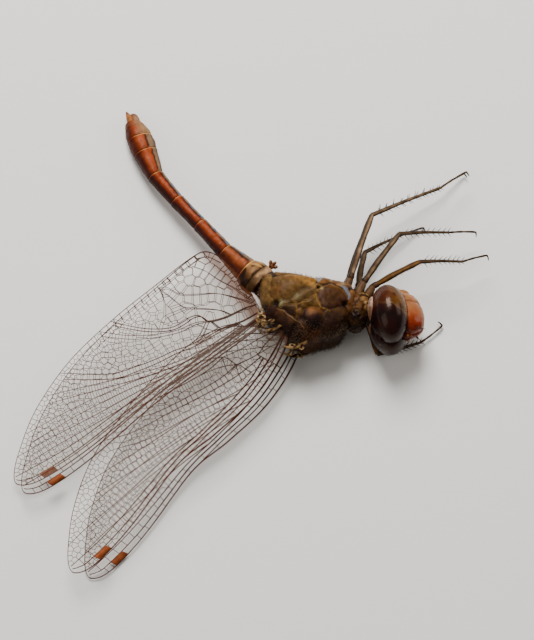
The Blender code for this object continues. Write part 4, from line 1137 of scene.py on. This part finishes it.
# wings: each one a flat plan in shares of its length, x along and y towards the trailing edge
wings = {
    "fore": {
        "length": 28.5, "nodus": 0.54, "stigma": (0.865, 0.915), "seed": 5,
        "outline": ((-0.012, 0), (0.1, -0.036), (0.24, -0.046), (0.4, -0.026), (0.54, 0), (0.78, -0.014),
            (0.93, -0.006), (0.99, 0.022), (0.985, 0.055), (0.93, 0.103), (0.83, 0.165), (0.68, 0.22),
            (0.5, 0.238), (0.3, 0.232), (0.16, 0.205), (0.07, 0.14), (0.01, 0.05)),
        "subcosta": ((0, 0.008), (0.1, -0.02), (0.24, -0.03), (0.4, -0.013), (0.535, 0.0)),
        "radius": ((0, 0.014), (0.1, -0.006), (0.24, -0.017), (0.4, -0.001), (0.54, 0.013), (0.78, 0.004),
            (0.93, 0.014), (0.97, 0.026), (0.987, 0.038)),
        "sector": ((0.1, 0.012), (0.18, 0.0), (0.3, 0.002), (0.42, 0.012), (0.54, 0.027), (0.7, 0.026),
            (0.85, 0.03), (0.984, 0.046)),
        "arculus": ((0.1, -0.006), (0.1, 0.012), (0.104, 0.034)),
        "veins": (
            (((0.44, 0.016), (0.56, 0.045), (0.7, 0.063), (0.85, 0.086), (0.942, 0.095)), 0.05),
            (((0.3, 0.004), (0.42, 0.04), (0.56, 0.078), (0.72, 0.11), (0.88, 0.132)), 0.045),
            (((0.24, 0.0), (0.36, 0.055), (0.5, 0.1), (0.64, 0.145), (0.78, 0.188)), 0.05),
            (((0.102, 0.02), (0.2, 0.04), (0.3, 0.075), (0.42, 0.125), (0.54, 0.175), (0.62, 0.228)), 0.055),
            (((0.0, 0.03), (0.06, 0.036), (0.104, 0.034), (0.17, 0.06), (0.212, 0.062)), 0.055),
            (((0.17, 0.06), (0.178, 0.112), (0.212, 0.062)), 0.055),
            (((0.178, 0.112), (0.25, 0.124), (0.36, 0.165), (0.45, 0.206), (0.5, 0.238)), 0.055),
            (((0.178, 0.112), (0.215, 0.145), (0.28, 0.18), (0.34, 0.205), (0.385, 0.234)), 0.05),
            (((0.0, 0.036), (0.06, 0.062), (0.12, 0.084), (0.178, 0.112)), 0.055),
            (((0.06, 0.062), (0.11, 0.11), (0.15, 0.15), (0.2, 0.19), (0.24, 0.222)), 0.042),
            (((0.02, 0.045), (0.06, 0.09), (0.1, 0.14), (0.12, 0.18)), 0.04),
        ),
        "cellMm": (0.72, 0.56), "amber": 0.03, "amberShare": 0.0,
    },
    "hind": {
        "length": 27.0, "nodus": 0.455, "stigma": (0.86, 0.912), "seed": 9,
        "outline": ((-0.015, 0), (0.2, -0.006), (0.46, 0), (0.75, -0.014), (0.92, -0.006), (0.99, 0.025),
            (0.98, 0.065), (0.92, 0.12), (0.8, 0.2), (0.62, 0.27), (0.42, 0.304), (0.22, 0.318),
            (0.08, 0.325), (0.015, 0.312), (-0.015, 0.24), (-0.02, 0.1)),
        "subcosta": ((0, 0.01), (0.1, 0.006), (0.25, 0.006), (0.4, 0.007), (0.45, 0.004)),
        "radius": ((0, 0.016), (0.1, 0.017), (0.25, 0.018), (0.46, 0.018), (0.75, 0.006), (0.92, 0.014),
            (0.972, 0.03), (0.986, 0.043)),
        "sector": ((0.082, 0.028), (0.16, 0.03), (0.3, 0.034), (0.46, 0.034), (0.62, 0.03), (0.8, 0.032),
            (0.984, 0.052)),
        "arculus": ((0.08, 0.017), (0.082, 0.03), (0.086, 0.048)),
        "veins": (
            (((0.4, 0.035), (0.52, 0.05), (0.66, 0.068), (0.82, 0.092), (0.94, 0.105)), 0.05),
            (((0.3, 0.034), (0.4, 0.06), (0.53, 0.096), (0.7, 0.13), (0.87, 0.152)), 0.045),
            (((0.22, 0.034), (0.32, 0.05), (0.412, 0.08), (0.52, 0.123), (0.64, 0.175), (0.75, 0.222)), 0.05),
            (((0.086, 0.04), (0.15, 0.058), (0.249, 0.071), (0.311, 0.089), (0.37, 0.1), (0.437, 0.118),
                (0.533, 0.155), (0.66, 0.256)), 0.06),
            (((0.0, 0.03), (0.05, 0.036), (0.086, 0.044), (0.145, 0.066), (0.249, 0.071)), 0.055),
            (((0.145, 0.066), (0.158, 0.107), (0.2, 0.086), (0.249, 0.071)), 0.055),
            (((0.0, 0.058), (0.032, 0.07), (0.063, 0.076), (0.11, 0.086), (0.158, 0.107), (0.169, 0.138),
                (0.193, 0.152), (0.233, 0.154), (0.269, 0.161), (0.306, 0.182), (0.347, 0.217),
                (0.383, 0.258), (0.42, 0.304)), 0.065),
            (((0.158, 0.107), (0.2, 0.128), (0.262, 0.142), (0.33, 0.176), (0.4, 0.225), (0.47, 0.296)),
                0.045),
            (((0.086, 0.082), (0.107, 0.118), (0.16, 0.166), (0.188, 0.19), (0.198, 0.208), (0.208, 0.256),
                (0.22, 0.304)), 0.042),
            (((0.005, 0.07), (0.03, 0.11), (0.059, 0.15), (0.087, 0.178), (0.122, 0.201), (0.165, 0.232),
                (0.183, 0.254), (0.197, 0.288), (0.22, 0.304)), 0.042),
            (((0.188, 0.19), (0.225, 0.2), (0.269, 0.208), (0.306, 0.182)), 0.036),
            (((0.22, 0.304), (0.235, 0.254), (0.269, 0.208)), 0.034),
            (((0.0, 0.08), (0.02, 0.15), (0.043, 0.206), (0.06, 0.26), (0.085, 0.3)), 0.036),
            (((0.0, 0.25), (0.03, 0.3), (0.1, 0.306), (0.2, 0.302), (0.3, 0.295), (0.42, 0.284),
                (0.56, 0.268)), 0.034),
        ),
        "cellMm": (0.86, 0.56), "amber": 0.09, "amberShare": 0.035,
    },
    # root of each wing, heading and rise of its length, rise of its trailing side
    "places": {
        "fore_right": ((2.9, -2.05, 1.36), 231.0, -2.35, 0.0),
        "hind_right": ((-0.25, 0.15, 2.02), 216.5, -2.3, 0.0),
        "hind_left": ((0.0, -0.1, 3.0), 218.5, -3.0, 0.6),
        "fore_left": ((1.75, -2.2, 3.72), 230.5, -3.0, 0.6),
    },
    "vein": "#2c0f07", "veinWarm": "#5a260f", "net": "#401a0d", "film": "#e8d2bd", "filmAmber": "#d3700f",
    "membranule": "#bdb2aa", "stigma": "#7b3d1f", "spotMm": 0.09, "filmGrid": (110, 30),
    # radius at the start and the end of each rod, the end's share of the other veins' radius, and the bars'
    "rods": {"lead": (0.09, 0.05), "trail": (0.05, 0.035), "subcosta": (0.07, 0.045), "radius": (0.09, 0.045),
        "sector": (0.07, 0.04), "arculus": (0.05, 0.05)},
    "veinEnd": 0.62, "rungRadius": 0.035, "netRadius": 0.027, "waveDepth": 0.09, "waveMm": 11.0,
    "pleatDepth": 0.06, "pleatMm": 0.62,
    "membranuleEdge": ((-0.012, 0.02), (-0.018, 0.06), (-0.018, 0.1), (-0.015, 0.14)),
    "membranuleWidth": 0.015, "membranuleMm": 0.036,
}
# the net of cells: spacing and offset of the seeds along a vein, and the least distances from lines, pairs
# and other seeds, all in cells; then how many places are tried, and which borders become bars
cells = {
    "step": 0.86, "offset": 0.42, "fromLines": 0.3, "fromPairs": 0.55, "apart": 0.85, "finerMm": 0.16,
    "cloud": 90000, "thinned": 16000, "picks": 3000, "relaxings": 8, "halvings": 9, "slack": 0.004,
    "shortestMm": 0.05, "fromVeinMm": 0.07,
}


def crease(kind, x, y):
    # out-of-plane relief in mm: slow waves over the whole wing and sharp pleats behind the leading edge
    plan = wings[kind]
    behind = (y - np.interp(x, plan["leadX"], plan["leadY"])) * plan["length"]
    slow = wings["waveDepth"] * ripple(onPlane(x, y) * plan["length"], wings["waveMm"], plan["seed"])
    pleat = wings["pleatDepth"] * np.cos(behind * 2 * math.pi / wings["pleatMm"]) * np.exp(-behind / 1.5)
    return (slow + pleat) * smooth(-0.02, 0.06, x)


def veinSeeds(lines, cellSize):
    # seeds in mirrored pairs a little off each line. A pair is left out where another line or an earlier
    # pair is too near, so that there are no sliver cells.
    kept = np.zeros((0, 2))
    for n, line in enumerate(lines):
        run = runLength(line)
        step = cellSize(line).mean() * cells["step"]
        spot = alongPath(np.arange(step / 2, run[-1], step), run, line)
        way = unit(np.gradient(spot, axis=0))
        offset = np.stack([-way[:, 1], way[:, 0]], 1) * (cellSize(spot)[:, None] * cells["offset"])
        a, b = spot + offset, spot - offset
        clear = np.ones(len(a), bool)
        for other in lines[:n] + lines[n + 1:]:
            for side in (a, b):
                clear &= nearest(side, other[::3]) > cells["fromLines"] * cellSize(side)
        a, b = a[clear], b[clear]
        if len(kept):
            good = np.minimum(nearest(a, kept), nearest(b, kept)) > cells["fromPairs"] * cellSize(a)
            a, b = a[good], b[good]
        kept = np.vstack([kept, a, b])
    return kept


def freeSeeds(cloud, fixed, cellSize, rng):
    # seeds picked from a cloud of places so that none is near another, then moved a few times to the middle
    # of the places that are nearest to them
    free, taken = [], fixed
    for chunk in np.array_split(cloud[rng.permutation(len(cloud))][:cells["picks"]], 60):
        chosen = []
        for p in chunk[nearest(chunk, taken) > cells["apart"] * cellSize(chunk)]:
            if all(np.hypot(*(p - q)) > cells["apart"] * cellSize(p[None])[0] for q in chosen):
                chosen.append(p)
        if chosen:
            free += chosen
            taken = np.vstack([taken, chosen])
    free = np.array(free)
    for turn in range(cells["relaxings"]):
        seeds = np.vstack([free, fixed])
        owner = np.concatenate([np.argmin(((part[:, None] - seeds[None]) ** 2).sum(-1), axis=1)
                                for part in np.array_split(cloud, 24)])
        mass = np.bincount(owner, minlength=len(seeds))[:len(free)]
        for c in (0, 1):
            total = np.bincount(owner, cloud[:, c], minlength=len(seeds))[:len(free)]
            free[:, c] = np.where(mass > 0, total / np.maximum(mass, 1), free[:, c])
    return free


def cellBorders(seeds):
    # borders between nearest-seed cells: each joins the centres of the circles through the corners of two
    # Delaunay triangles that share an edge
    found = delaunay_2d_cdt([tuple(p) for p in seeds], [], [], 0, 1e-7)
    flat = np.array([tuple(v) for v in found[0]])
    tris = np.array([f for f in found[2] if len(f) == 3])
    a, b, c = (flat[tris[:, k]] for k in range(3))
    sa, sb, sc = ((p**2).sum(1) for p in (a, b, c))
    (ax, ay), (bx, by), (cx, cy) = a.T, b.T, c.T
    d = 2 * (ax * (by - cy) + bx * (cy - ay) + cx * (ay - by))
    centre = np.stack([(sa * (by - cy) + sb * (cy - ay) + sc * (ay - by)) / d,
                       (sa * (cx - bx) + sb * (ax - cx) + sc * (bx - ax)) / d], 1)
    edges = np.sort(np.concatenate([tris[:, [0, 1]], tris[:, [1, 2]], tris[:, [2, 0]]]), axis=1)
    face = np.tile(np.arange(len(tris)), 3)
    order = np.lexsort((edges[:, 1], edges[:, 0]))
    edges, face = edges[order], face[order]
    same = (edges[1:] == edges[:-1]).all(1)
    return centre[face[:-1][same]], centre[face[1:][same]]


def drawPlan(kind):
    # cell network of a wing: seeds lie in mirrored pairs along each vein and the rim, so that the borders
    # between the nearest-seed cells fall on the veins; free seeds fill the rest
    plan = wings[kind]
    length = plan["length"]
    loop = smoothLoop(plan["outline"], 600)
    tip = int(np.argmax(loop[:, 0]))
    lead, trail = loop[:tip + 1], np.vstack([loop[tip:], loop[:1]])[::-1]
    plan.update(lead=lead, trail=trail, leadX=lead[:, 0], leadY=lead[:, 1])
    sector = smoothPath(plan["sector"], 200)

    def cellSize(p):
        # cells run evenly from the near size to the far one, and are smaller along the trailing edge
        near, far = plan["cellMm"]
        size = near + (far - near) * smooth(0.1, 0.55, p[:, 0])
        return (size - cells["finerMm"] * smooth(2.2, 0.4, nearest(p, trail[::6]) * length)) / length

    def inField(p, slack=0.0):
        # inside the outline, by counting crossings, and behind the sector
        x, y = p[:, :1], p[:, 1:]
        ax, ay = loop.T
        bx, by = np.roll(loop, -1, axis=0).T
        crossed = ((ay > y) != (by > y)) & (x < (bx - ax) * (y - ay) / (by - ay + 1e-12) + ax)
        behind = p[:, 1] > np.interp(p[:, 0], sector[:, 0], sector[:, 1], left=0.03) - slack
        return (crossed.sum(1) % 2 == 1) & behind

    rim = np.vstack([trail, loop[:1]])[::-1]
    lines = [smoothPath(path, 120) for path, size in plan["veins"]] + [sector, rim]
    fixed = veinSeeds(lines, cellSize)
    rng = np.random.default_rng(plan["seed"])
    cloud = rng.uniform(loop.min(0), loop.max(0), (cells["cloud"], 2))
    cloud = cloud[inField(cloud)]
    size = cellSize(cloud)
    cloud = cloud[rng.uniform(0, 1, len(cloud)) < (size.min() / size) ** 2][:cells["thinned"]]
    p, q = cellBorders(np.vstack([freeSeeds(cloud, fixed, cellSize, rng), fixed]))
    middle = (p + q) / 2
    good = inField(middle, cells["slack"]) & (np.hypot(*(p - q).T) * length > cells["shortestMm"])
    p, q, middle = p[good], q[good], middle[good]
    # a bar that runs out of the wing is cut at the rim, found by halving
    for end in (p, q):
        inner, outer = middle, end.copy()
        for turn in range(cells["halvings"]):
            half = (inner + outer) / 2
            inside = inField(half, cells["slack"])[:, None]
            inner, outer = np.where(inside, half, inner), np.where(inside, outer, half)
        end[:] = np.where(inField(end, cells["slack"])[:, None], end, outer)
    away = np.full(len(p), 9.0)
    for line in lines:
        away = np.minimum(away, nearest(middle, line[::2]))
    off = away * length > cells["fromVeinMm"]
    plan["net"] = (p[off], q[off])


def drawRungs(kind):
    # cross veins between neighbouring long veins: evenly spaced with a little unevenness
    plan = wings[kind]
    nodus, (stigmaStart, stigmaEnd) = plan["nodus"], plan["stigma"]
    rng = np.random.default_rng(plan["seed"] + 100)
    chains = {name: smoothPath(plan[name], 200) for name in ("subcosta", "radius", "sector")}
    chains.update(costa=plan["lead"], trail=plan["trail"], submargin=smoothPath(plan["veins"][-1][0], 100))
    # from, to, first and last place along the wing, spacing in mm
    rows = [("costa", "subcosta", 0.05, nodus, 1.75), ("subcosta", "radius", 0.05, nodus - 0.03, 1.75),
            ("costa", "radius", nodus, stigmaStart - 0.02, 1.25),
            ("costa", "radius", stigmaEnd + 0.008, 0.965, 0.6),
            ("radius", "sector", 0.12, nodus - 0.02, 2.1), ("radius", "sector", nodus + 0.01, 0.97, 1.05)]
    if kind == "hind":
        rows.append(("submargin", "trail", 0.025, 0.54, 0.8))
    starts, ends = [], []
    for front, rear, first, last, step in rows:
        x = np.arange(first, last, step / plan["length"])
        x = x + rng.uniform(-0.12, 0.12, len(x)) * step / plan["length"]
        slant = rng.uniform(-0.002, 0.002, len(x))
        starts.append(np.stack([x, np.interp(x, *chains[front].T)], 1))
        ends.append(np.stack([x + slant, np.interp(x + slant, *chains[rear].T)], 1))
    plan["rungs"] = (np.vstack(starts), np.vstack(ends))


def struts(starts, ends, radius, tint):
    # straight four-sided bars between two lists of points, closed at both ends: ring = end + radius * spoke
    way = ends - starts
    way /= np.linalg.norm(way, axis=1, keepdims=True) + 1e-9
    across = np.cross(way, (0, 0, 1.0))
    across /= np.linalg.norm(across, axis=1, keepdims=True) + 1e-9
    rise = np.cross(across, way)
    angle = np.arange(4) * math.pi / 2 + 0.6
    spoke = (across[:, None] * np.cos(angle)[None, :, None]
             + rise[:, None] * np.sin(angle)[None, :, None]) * radius
    points = np.concatenate([starts[:, None] + spoke, ends[:, None] + spoke], axis=1)
    k = np.arange(4)
    n = (k + 1) % 4
    faces = np.concatenate([np.stack([k, n, n + 4, k + 4], 1), [[3, 2, 1, 0], [4, 5, 6, 7]]])
    quads = (faces[None] + (np.arange(len(starts)) * 8)[:, None, None]).reshape(-1, 4)
    if facesInward(points[0], faces):
        quads = quads[:, ::-1]
    flat = points.reshape(-1, 3)
    return flat, quads, np.zeros((0, 3), int), np.broadcast_to(tint, flat.shape), np.zeros((len(flat), 2))


def wingPoint(kind, where, flat):
    # places of the plan, in shares of the length, on the floor: each one is raised by the relief there
    length = wings[kind]["length"]
    x, y = flat[..., 0], flat[..., 1]
    return toFloor(where, np.stack([x * length, y * length, crease(kind, x, y)], -1))


def facesDown(points, quads, up):
    # true where the first quad's winding points away from up
    corner, second, third = points[quads[0, :3]]
    return np.cross(second - corner, third - corner) @ np.array(up) < 0


def sheet(name, where, kind, plane, thick, lookName, tint):
    # two layers half a thickness above and below the plan, joined round the rim
    rows, columns = plane.shape[:2]
    middle = wingPoint(kind, where, plane)
    up = where[1][2] * thick / 2
    points = np.vstack([(middle + up).reshape(-1, 3), (middle - up).reshape(-1, 3)])
    top = gridFaces(rows, columns, wrap=False)
    count = rows * columns
    index = np.arange(count).reshape(rows, columns)
    rim = np.concatenate([index[0], index[1:, -1], index[-1, -2::-1], index[-2:0:-1, 0]])
    following = np.roll(rim, -1)
    wall = np.stack([following, rim, rim + count, following + count], 1)
    quads = np.concatenate([top, top[:, ::-1] + count, wall])
    if facesDown(points, top, up):
        quads = quads[:, ::-1]
    tint = np.broadcast_to(tint, (2,) + plane.shape[:2] + (3,))
    uv = np.vstack([plane.reshape(-1, 2)] * 2)
    placed(makeMesh(name, points, [quads], looks[lookName], tint, uv), "wing_membrane")


def filmSheet(name, where, kind, plane, lookName, tint, *nodes):
    # one layer of film, which the rods of the rim close round
    points = wingPoint(kind, where, plane).reshape(-1, 3)
    quads = gridFaces(*plane.shape[:2], wrap=False)
    if facesDown(points, quads, (0, 0, 1)):
        quads = quads[:, ::-1]
    placed(makeMesh(name, points, [quads], looks[lookName], tint, plane), "wing_membrane", *nodes)


# clear dry wing film, a few microns of chitin, so nearly all light passes and only its gloss shows; the same
# stained amber in two strengths, which colours what lies behind it; and milky skin that hides it: how much
# each one covers, and its roughness
films = {"wing film": (0.07, 0.2), "wing stain": (0.24, 0.25), "wing deep stain": (0.48, 0.3),
         "pale skin": (0.75, 0.45)}
for name, (alpha, roughness) in films.items():
    looks[name] = tintShader(name, {"IOR": 1.5, "Alpha": alpha, "Roughness": roughness})


def veinShapes(plan, kind, where):
    # round rods along the rim and the long veins, thinner towards their ends, and straight bars for the rungs
    # and the net
    rods = [(plan[key], *ends) for key, ends in wings["rods"].items()]
    rods += [(path, size, size * wings["veinEnd"]) for path, size in plan["veins"]]
    shapes = []
    for path, first, last in rods:
        path = np.array(path)
        path = np.vstack([path[:-1:12], path[-1:]]) if len(path) > 60 else path
        span = np.linalg.norm(np.diff(path, axis=0), axis=1).sum() * plan["length"]
        flat = smoothPath(path, max(12, int(span / 0.22)))
        thick = first + (last - first) * np.linspace(0, 1, len(flat)) ** 0.8
        rings = limb(wingPoint(kind, where, flat), thick, thick, where[1][2], 6)
        tint = blend(colour(wings["vein"]), colour(wings["veinWarm"]), smooth(0.0, 0.5, flat[:, 0]) * 0.5)
        shapes.append(ringsShape(rings, tint[:, None]))
    for key, radius in (("rungs", wings["rungRadius"]), ("net", wings["netRadius"])):
        starts, ends = (wingPoint(kind, where, side) for side in plan[key])
        shapes.append(struts(starts, ends, radius, colour(wings["net"])))
    return shapes


def wingPieces(name):
    # the film, veins, spot and strip of skin of one wing, from its plan
    kind = name.split("_")[0]
    plan = wings[kind]
    root, heading, rise, trailRise = wings["places"][name]
    where = frameAt(root, direction(heading, rise), direction(heading - 90, trailRise))
    # clear film over the whole plan: straight lines from the leading to the trailing edge
    rows, columns = wings["filmGrid"]
    lead, trail = (smoothPath(plan[key][::10], rows)[:, None] for key in ("lead", "trail"))
    v = np.linspace(0, 1, columns)[None, :, None]
    plane = lead * (1 - v) + trail * v
    x, y = plane[..., 0], plane[..., 1]
    uneven = 0.1 * np.abs(y - 0.08) + 0.006 * ripple(onPlane(x, y) * plan["length"], 1.6, 7)
    tint = blend(colour(wings["film"]), colour(wings["filmAmber"]), smooth(plan["amber"], 0.0, x + uneven))
    # the first rows of the hind wing are stained, in two strengths
    first = int(rows * plan["amberShare"])
    bands = (("deep_stain", 0, first), ("stain", first, 2 * first), ("film", 2 * first, rows - 1))
    for band, start, stop in bands:
        if stop > start:
            filmSheet(band + "_" + name, where, kind, plane[start:stop + 1], "wing " + band.replace("_", " "),
                      tint[start:stop + 1], *(["wing_" + name] if band == "film" else []))
    addPiece("veins_" + name, veinShapes(plan, kind, where), "leg chitin", "wing_membrane")
    # coloured spot near the tip, between the rim and the radius
    x = np.linspace(*plan["stigma"], 14)[:, None] + np.linspace(-0.003, 0.003, 6)[None, :]
    low = np.interp(x, plan["leadX"], plan["leadY"])
    high = np.interp(x, *np.array(plan["radius"]).T)
    spot = np.stack([x, low + (high - low) * np.linspace(0.08, 0.92, 6)[None, :]], -1)
    sheet("wing_spot_" + name, where, kind, spot, wings["spotMm"], "leg chitin", colour(wings["stigma"]))
    if kind == "hind":
        # membranule: the small opaque strip of skin along the inner edge beside the body, widest at its front
        v, u = np.linspace(0, 1, 40), np.linspace(0, 1, 16)[:, None]
        edge = smoothPath(wings["membranuleEdge"], 40)
        wide = (0.15 + 0.85 * np.clip(1 - v * 1.6, 0, 1) ** 0.7) * wings["membranuleWidth"]
        patch = np.stack([edge[:, 0] + 0.003 * u + wide * u, np.broadcast_to(edge[:, 1], (16, 40))], -1)
        sheet("membranule_" + name, where, kind, patch, wings["membranuleMm"], "pale skin",
              colour(wings["membranule"]))


for kind in ("fore", "hind"):
    drawPlan(kind)
    drawRungs(kind)
    print("wing plan drawn:", kind, len(wings[kind]["net"][0]), "net bars")
for name in wings["places"]:
    wingPieces(name)
print("wings made")

# wing hinges: small pale rings and straps of hard skin where the wings join the back
hinges = {
    "cream": "#6d5230", "pale": "#a48a62", "dark": "#1c0c06", "radius": 0.07,
    # closed rings on the thorax side: middle (forward, belly, side), half sizes, turn in degrees
    "rings": (
        ((-3.45, -2.75, 0.75), (0.34, 0.26), 20), ((-2.95, -3.15, 0.85), (0.3, 0.24), -30),
        ((-2.45, -2.75, 0.95), (0.28, 0.22), 40), ((-3.75, -2.25, 0.8), (0.26, 0.2), 60),
        ((0.2, -4.05, 0.75), (0.24, 0.18), 10), ((0.95, -3.85, 0.95), (0.3, 0.16), -35),
    ),
    # straps: open bent lines
    "straps": (
        ((-2.1, -2.5, 1.3), (-2.6, -3.0, 1.1), (-3.2, -3.3, 0.8), (-3.9, -3.0, 0.6)),
        ((1.3, -3.4, 1.25), (0.75, -4.0, 1.05), (0.2, -4.3, 0.85), (-0.5, -4.4, 0.7)),
        ((1.5, -3.0, 1.45), (1.0, -3.7, 1.2), (0.5, -4.0, 0.9)),
        ((-1.4, -2.8, 1.4), (-1.9, -3.4, 1.1), (-2.5, -3.7, 0.8)),
    ),
}
shapes = []
for (cx, cy, cz), (a, b), turn in hinges["rings"]:
    for sign in (1, -1):
        angle = np.linspace(0, 2 * math.pi, 41)[:-1]
        c, s = math.cos(math.radians(turn)), math.sin(math.radians(turn))
        px, py = a * np.cos(angle), b * np.sin(angle)
        loopLine = np.stack([cx + px * c - py * s, cy + px * s + py * c,
                             sign * (cz + 0.08 * np.sin(2 * angle))], 1)
        loopLine = toFloor(thoraxFrame, np.vstack([loopLine, loopLine[:2]]))
        thick = hinges["radius"] * (1 + 0.35 * np.sin(3 * np.linspace(0, 2 * math.pi, 42)))
        rings = limb(loopLine, thick, thick, thoraxFrame[1][2], 10)
        tint = blend(colour(hinges["cream"]), colour(hinges["pale"]),
                     smooth(-0.5, 0.8, ripple(rings, 0.3, 110)))
        shapes.append(ringsShape(rings, tint))
for path in hinges["straps"]:
    for sign in (1, -1):
        line = toFloor(thoraxFrame, smoothPath(np.array(path) * (1, 1, sign), 40))
        thick = 0.11 * np.sin(np.linspace(0.35, 2.9, 40)) ** 0.6
        rings = limb(line, thick * 1.5, thick * 0.8, thoraxFrame[1][2], 12)
        tint = blend(colour(hinges["dark"]), colour(hinges["cream"]),
                     smooth(-0.6, 0.6, ripple(rings, 0.5, 111)))
        shapes.append(ringsShape(rings, tint))
addPiece("wing_hinges", shapes, "thorax chitin", "thorax_shell")
print("wing hinges made")

# hairs: fine curved golden bristles, dense over the back of the thorax, short and sparse elsewhere
hairs = {
    "gold": "#5f401d", "dark": "#1f120a", "radius": 0.013, "count": 3200, "lengthMm": (0.16, 0.5),
    "lean": (-0.35, -0.25, 0.0), "leaning": 0.8, "straying": 0.35, "bending": 0.35, "seed": 201,
}

# insect hair: solid bristles of matt chitin, brown-gold and darker, which give the back its short nap
looks["hair chitin"] = tintShader("hair chitin", {"IOR": 1.55, "Roughness": 0.5})


def coat(name, where, grid, chance, slotName):
    # roots picked on a skin grid by chance per point times its area. A hair's direction is the normal, plus
    # the lean, plus a random direction in the skin.
    count, lean, (low, high) = hairs["count"], np.array(hairs["lean"]), hairs["lengthMm"]
    rng = np.random.default_rng(hairs["seed"])
    area = (np.linalg.norm(np.gradient(grid, axis=0), axis=-1)
            * np.linalg.norm(np.roll(grid, -1, 1) - grid, axis=-1))
    weight = (chance * area).ravel()
    pick = rng.choice(weight.size, count, p=weight / weight.sum())
    roots = grid.reshape(-1, 3)[pick] + rng.normal(0, 0.02, (count, 3))
    normals = gridNormals(grid).reshape(-1, 3)[pick]
    rows, columns = grid.shape[:2]
    place = np.stack([(pick % columns) / columns, (pick // columns) / rows], 1)
    size = rng.uniform(low, high, (count, 1)) * (0.55 + 0.45 * chance.ravel()[pick][:, None])
    way = normals + lean * hairs["leaning"] + inSkin(normals, hairs["seed"] + 1) * hairs["straying"]
    way /= np.linalg.norm(way, axis=1, keepdims=True)
    tips = roots + way * size
    bend = lean * size * hairs["bending"]
    tint = blend(colour(hairs["gold"]), colour(hairs["dark"]), rng.uniform(0, 1, count) ** 2 * 0.8)
    floorRoots, floorTips = toFloor(where, roots - normals * 0.02), toFloor(where, tips)
    floorTips[:, 2] = np.maximum(floorTips[:, 2], 0.02)
    shape = bristles(floorRoots, floorTips, hairs["radius"], tint, 3, bend @ where[1],
                     place * 0.95 + 0.02, 0.0015)
    addPiece(name, [shape], "hair chitin", slotName, uvName="OFBake")


gx, gy = thoraxSkin[..., 0], thoraxSkin[..., 1]
backEdge = smooth(-1.2, -2.9, gy) * smooth(-0.6, 0.8, gx)
frontEdge = smooth(2.6, 3.4, gx) * smooth(0.5, -0.6, gy)
chance = (0.05 + backEdge + 0.8 * frontEdge + 0.25 * smooth(1.6, 2.4, gy) * smooth(1.2, -1.2, gx)
          + 0.35 * smooth(-3.4, -4.2, gx))
coat("thorax_hairs", thoraxFrame, thoraxSkin, np.clip(chance, 0, 1), "thorax_shell")
print("hairs made")


# the floor, the light and the camera
studio = {
    "floorColour": "#e6e2dc", "floorSizeMm": 9000.0,
    "lookAtMm": (1.2, 1.0617, 2.0), "distanceMm": 200.0, "elevation": 70.0, "lensMm": 123.75,
    "world": 0.24, "worldColour": "#f2f1ee", "aim": (0.0, 0.0, 0.002),
    # lamps: place and size in metres, and power
    "lamps": {
        "key_light": ((-0.03, 0.19, 0.24), (0.14, 0.16), 1.7),
        "fill_light": ((-0.28, -0.12, 0.22), (0.25, 0.25), 0.4),
        "rim_light": ((0.24, 0.10, 0.12), (0.14, 0.14), 0.2),
    },
}


def studioFloor():
    # a flat square of pale matt card, which takes soft shadows and mirrors nothing
    half = studio["floorSizeMm"] / 2 * mm
    mesh = bpy.data.meshes.new("studio_floor")
    mesh.from_pydata([(-half, -half, 0), (half, -half, 0), (half, half, 0), (-half, half, 0)], [],
                     [(0, 1, 2, 3)])
    card, tree = newMaterial("matt card")
    shader = addNode(tree, "ShaderNodeBsdfPrincipled", None,
                     {"Base Color": (*colour(studio["floorColour"]), 1.0), "Roughness": 0.85})
    addNode(tree, "ShaderNodeOutputMaterial", None, None, {"Surface": shader.outputs["BSDF"]})
    mesh.materials.append(card)
    intoScene("studio_floor", mesh)


def softLight(name, place, size, power):
    # a broad lamp turned to face the animal
    lamp = bpy.data.lights.new(name, "AREA")
    lamp.shape, lamp.size, lamp.size_y, lamp.energy = "RECTANGLE", *size, power
    made = intoScene(name, lamp)
    made.location = place
    made.rotation_euler = (made.location - Vector(studio["aim"])).to_track_quat("Z", "Y").to_euler()


studioFloor()
for name, values in studio["lamps"].items():
    softLight(name, *values)
world = bpy.data.worlds.new("studio_world")
bpy.context.scene.world = world
world.use_nodes = True
world.node_tree.nodes.clear()
background = addNode(world.node_tree, "ShaderNodeBackground", None,
                     {"Color": (*colour(studio["worldColour"]), 1.0), "Strength": studio["world"]})
addNode(world.node_tree, "ShaderNodeOutputWorld", None, None, {"Surface": background.outputs["Background"]})
camera = bpy.data.cameras.new("camera")
camera.lens, camera.sensor_width, camera.clip_start, camera.clip_end = studio["lensMm"], 36.0, 0.01, 10.0
cameraObject = intoScene("camera", camera)
lift = math.radians(studio["elevation"])
target = np.array(studio["lookAtMm"]) * mm
cameraObject.location = target + studio["distanceMm"] * mm * np.array([0, -math.cos(lift), math.sin(lift)])
cameraObject.rotation_euler = (math.pi / 2 - lift, 0, 0)
bpy.context.scene.camera = cameraObject
print("studio made")
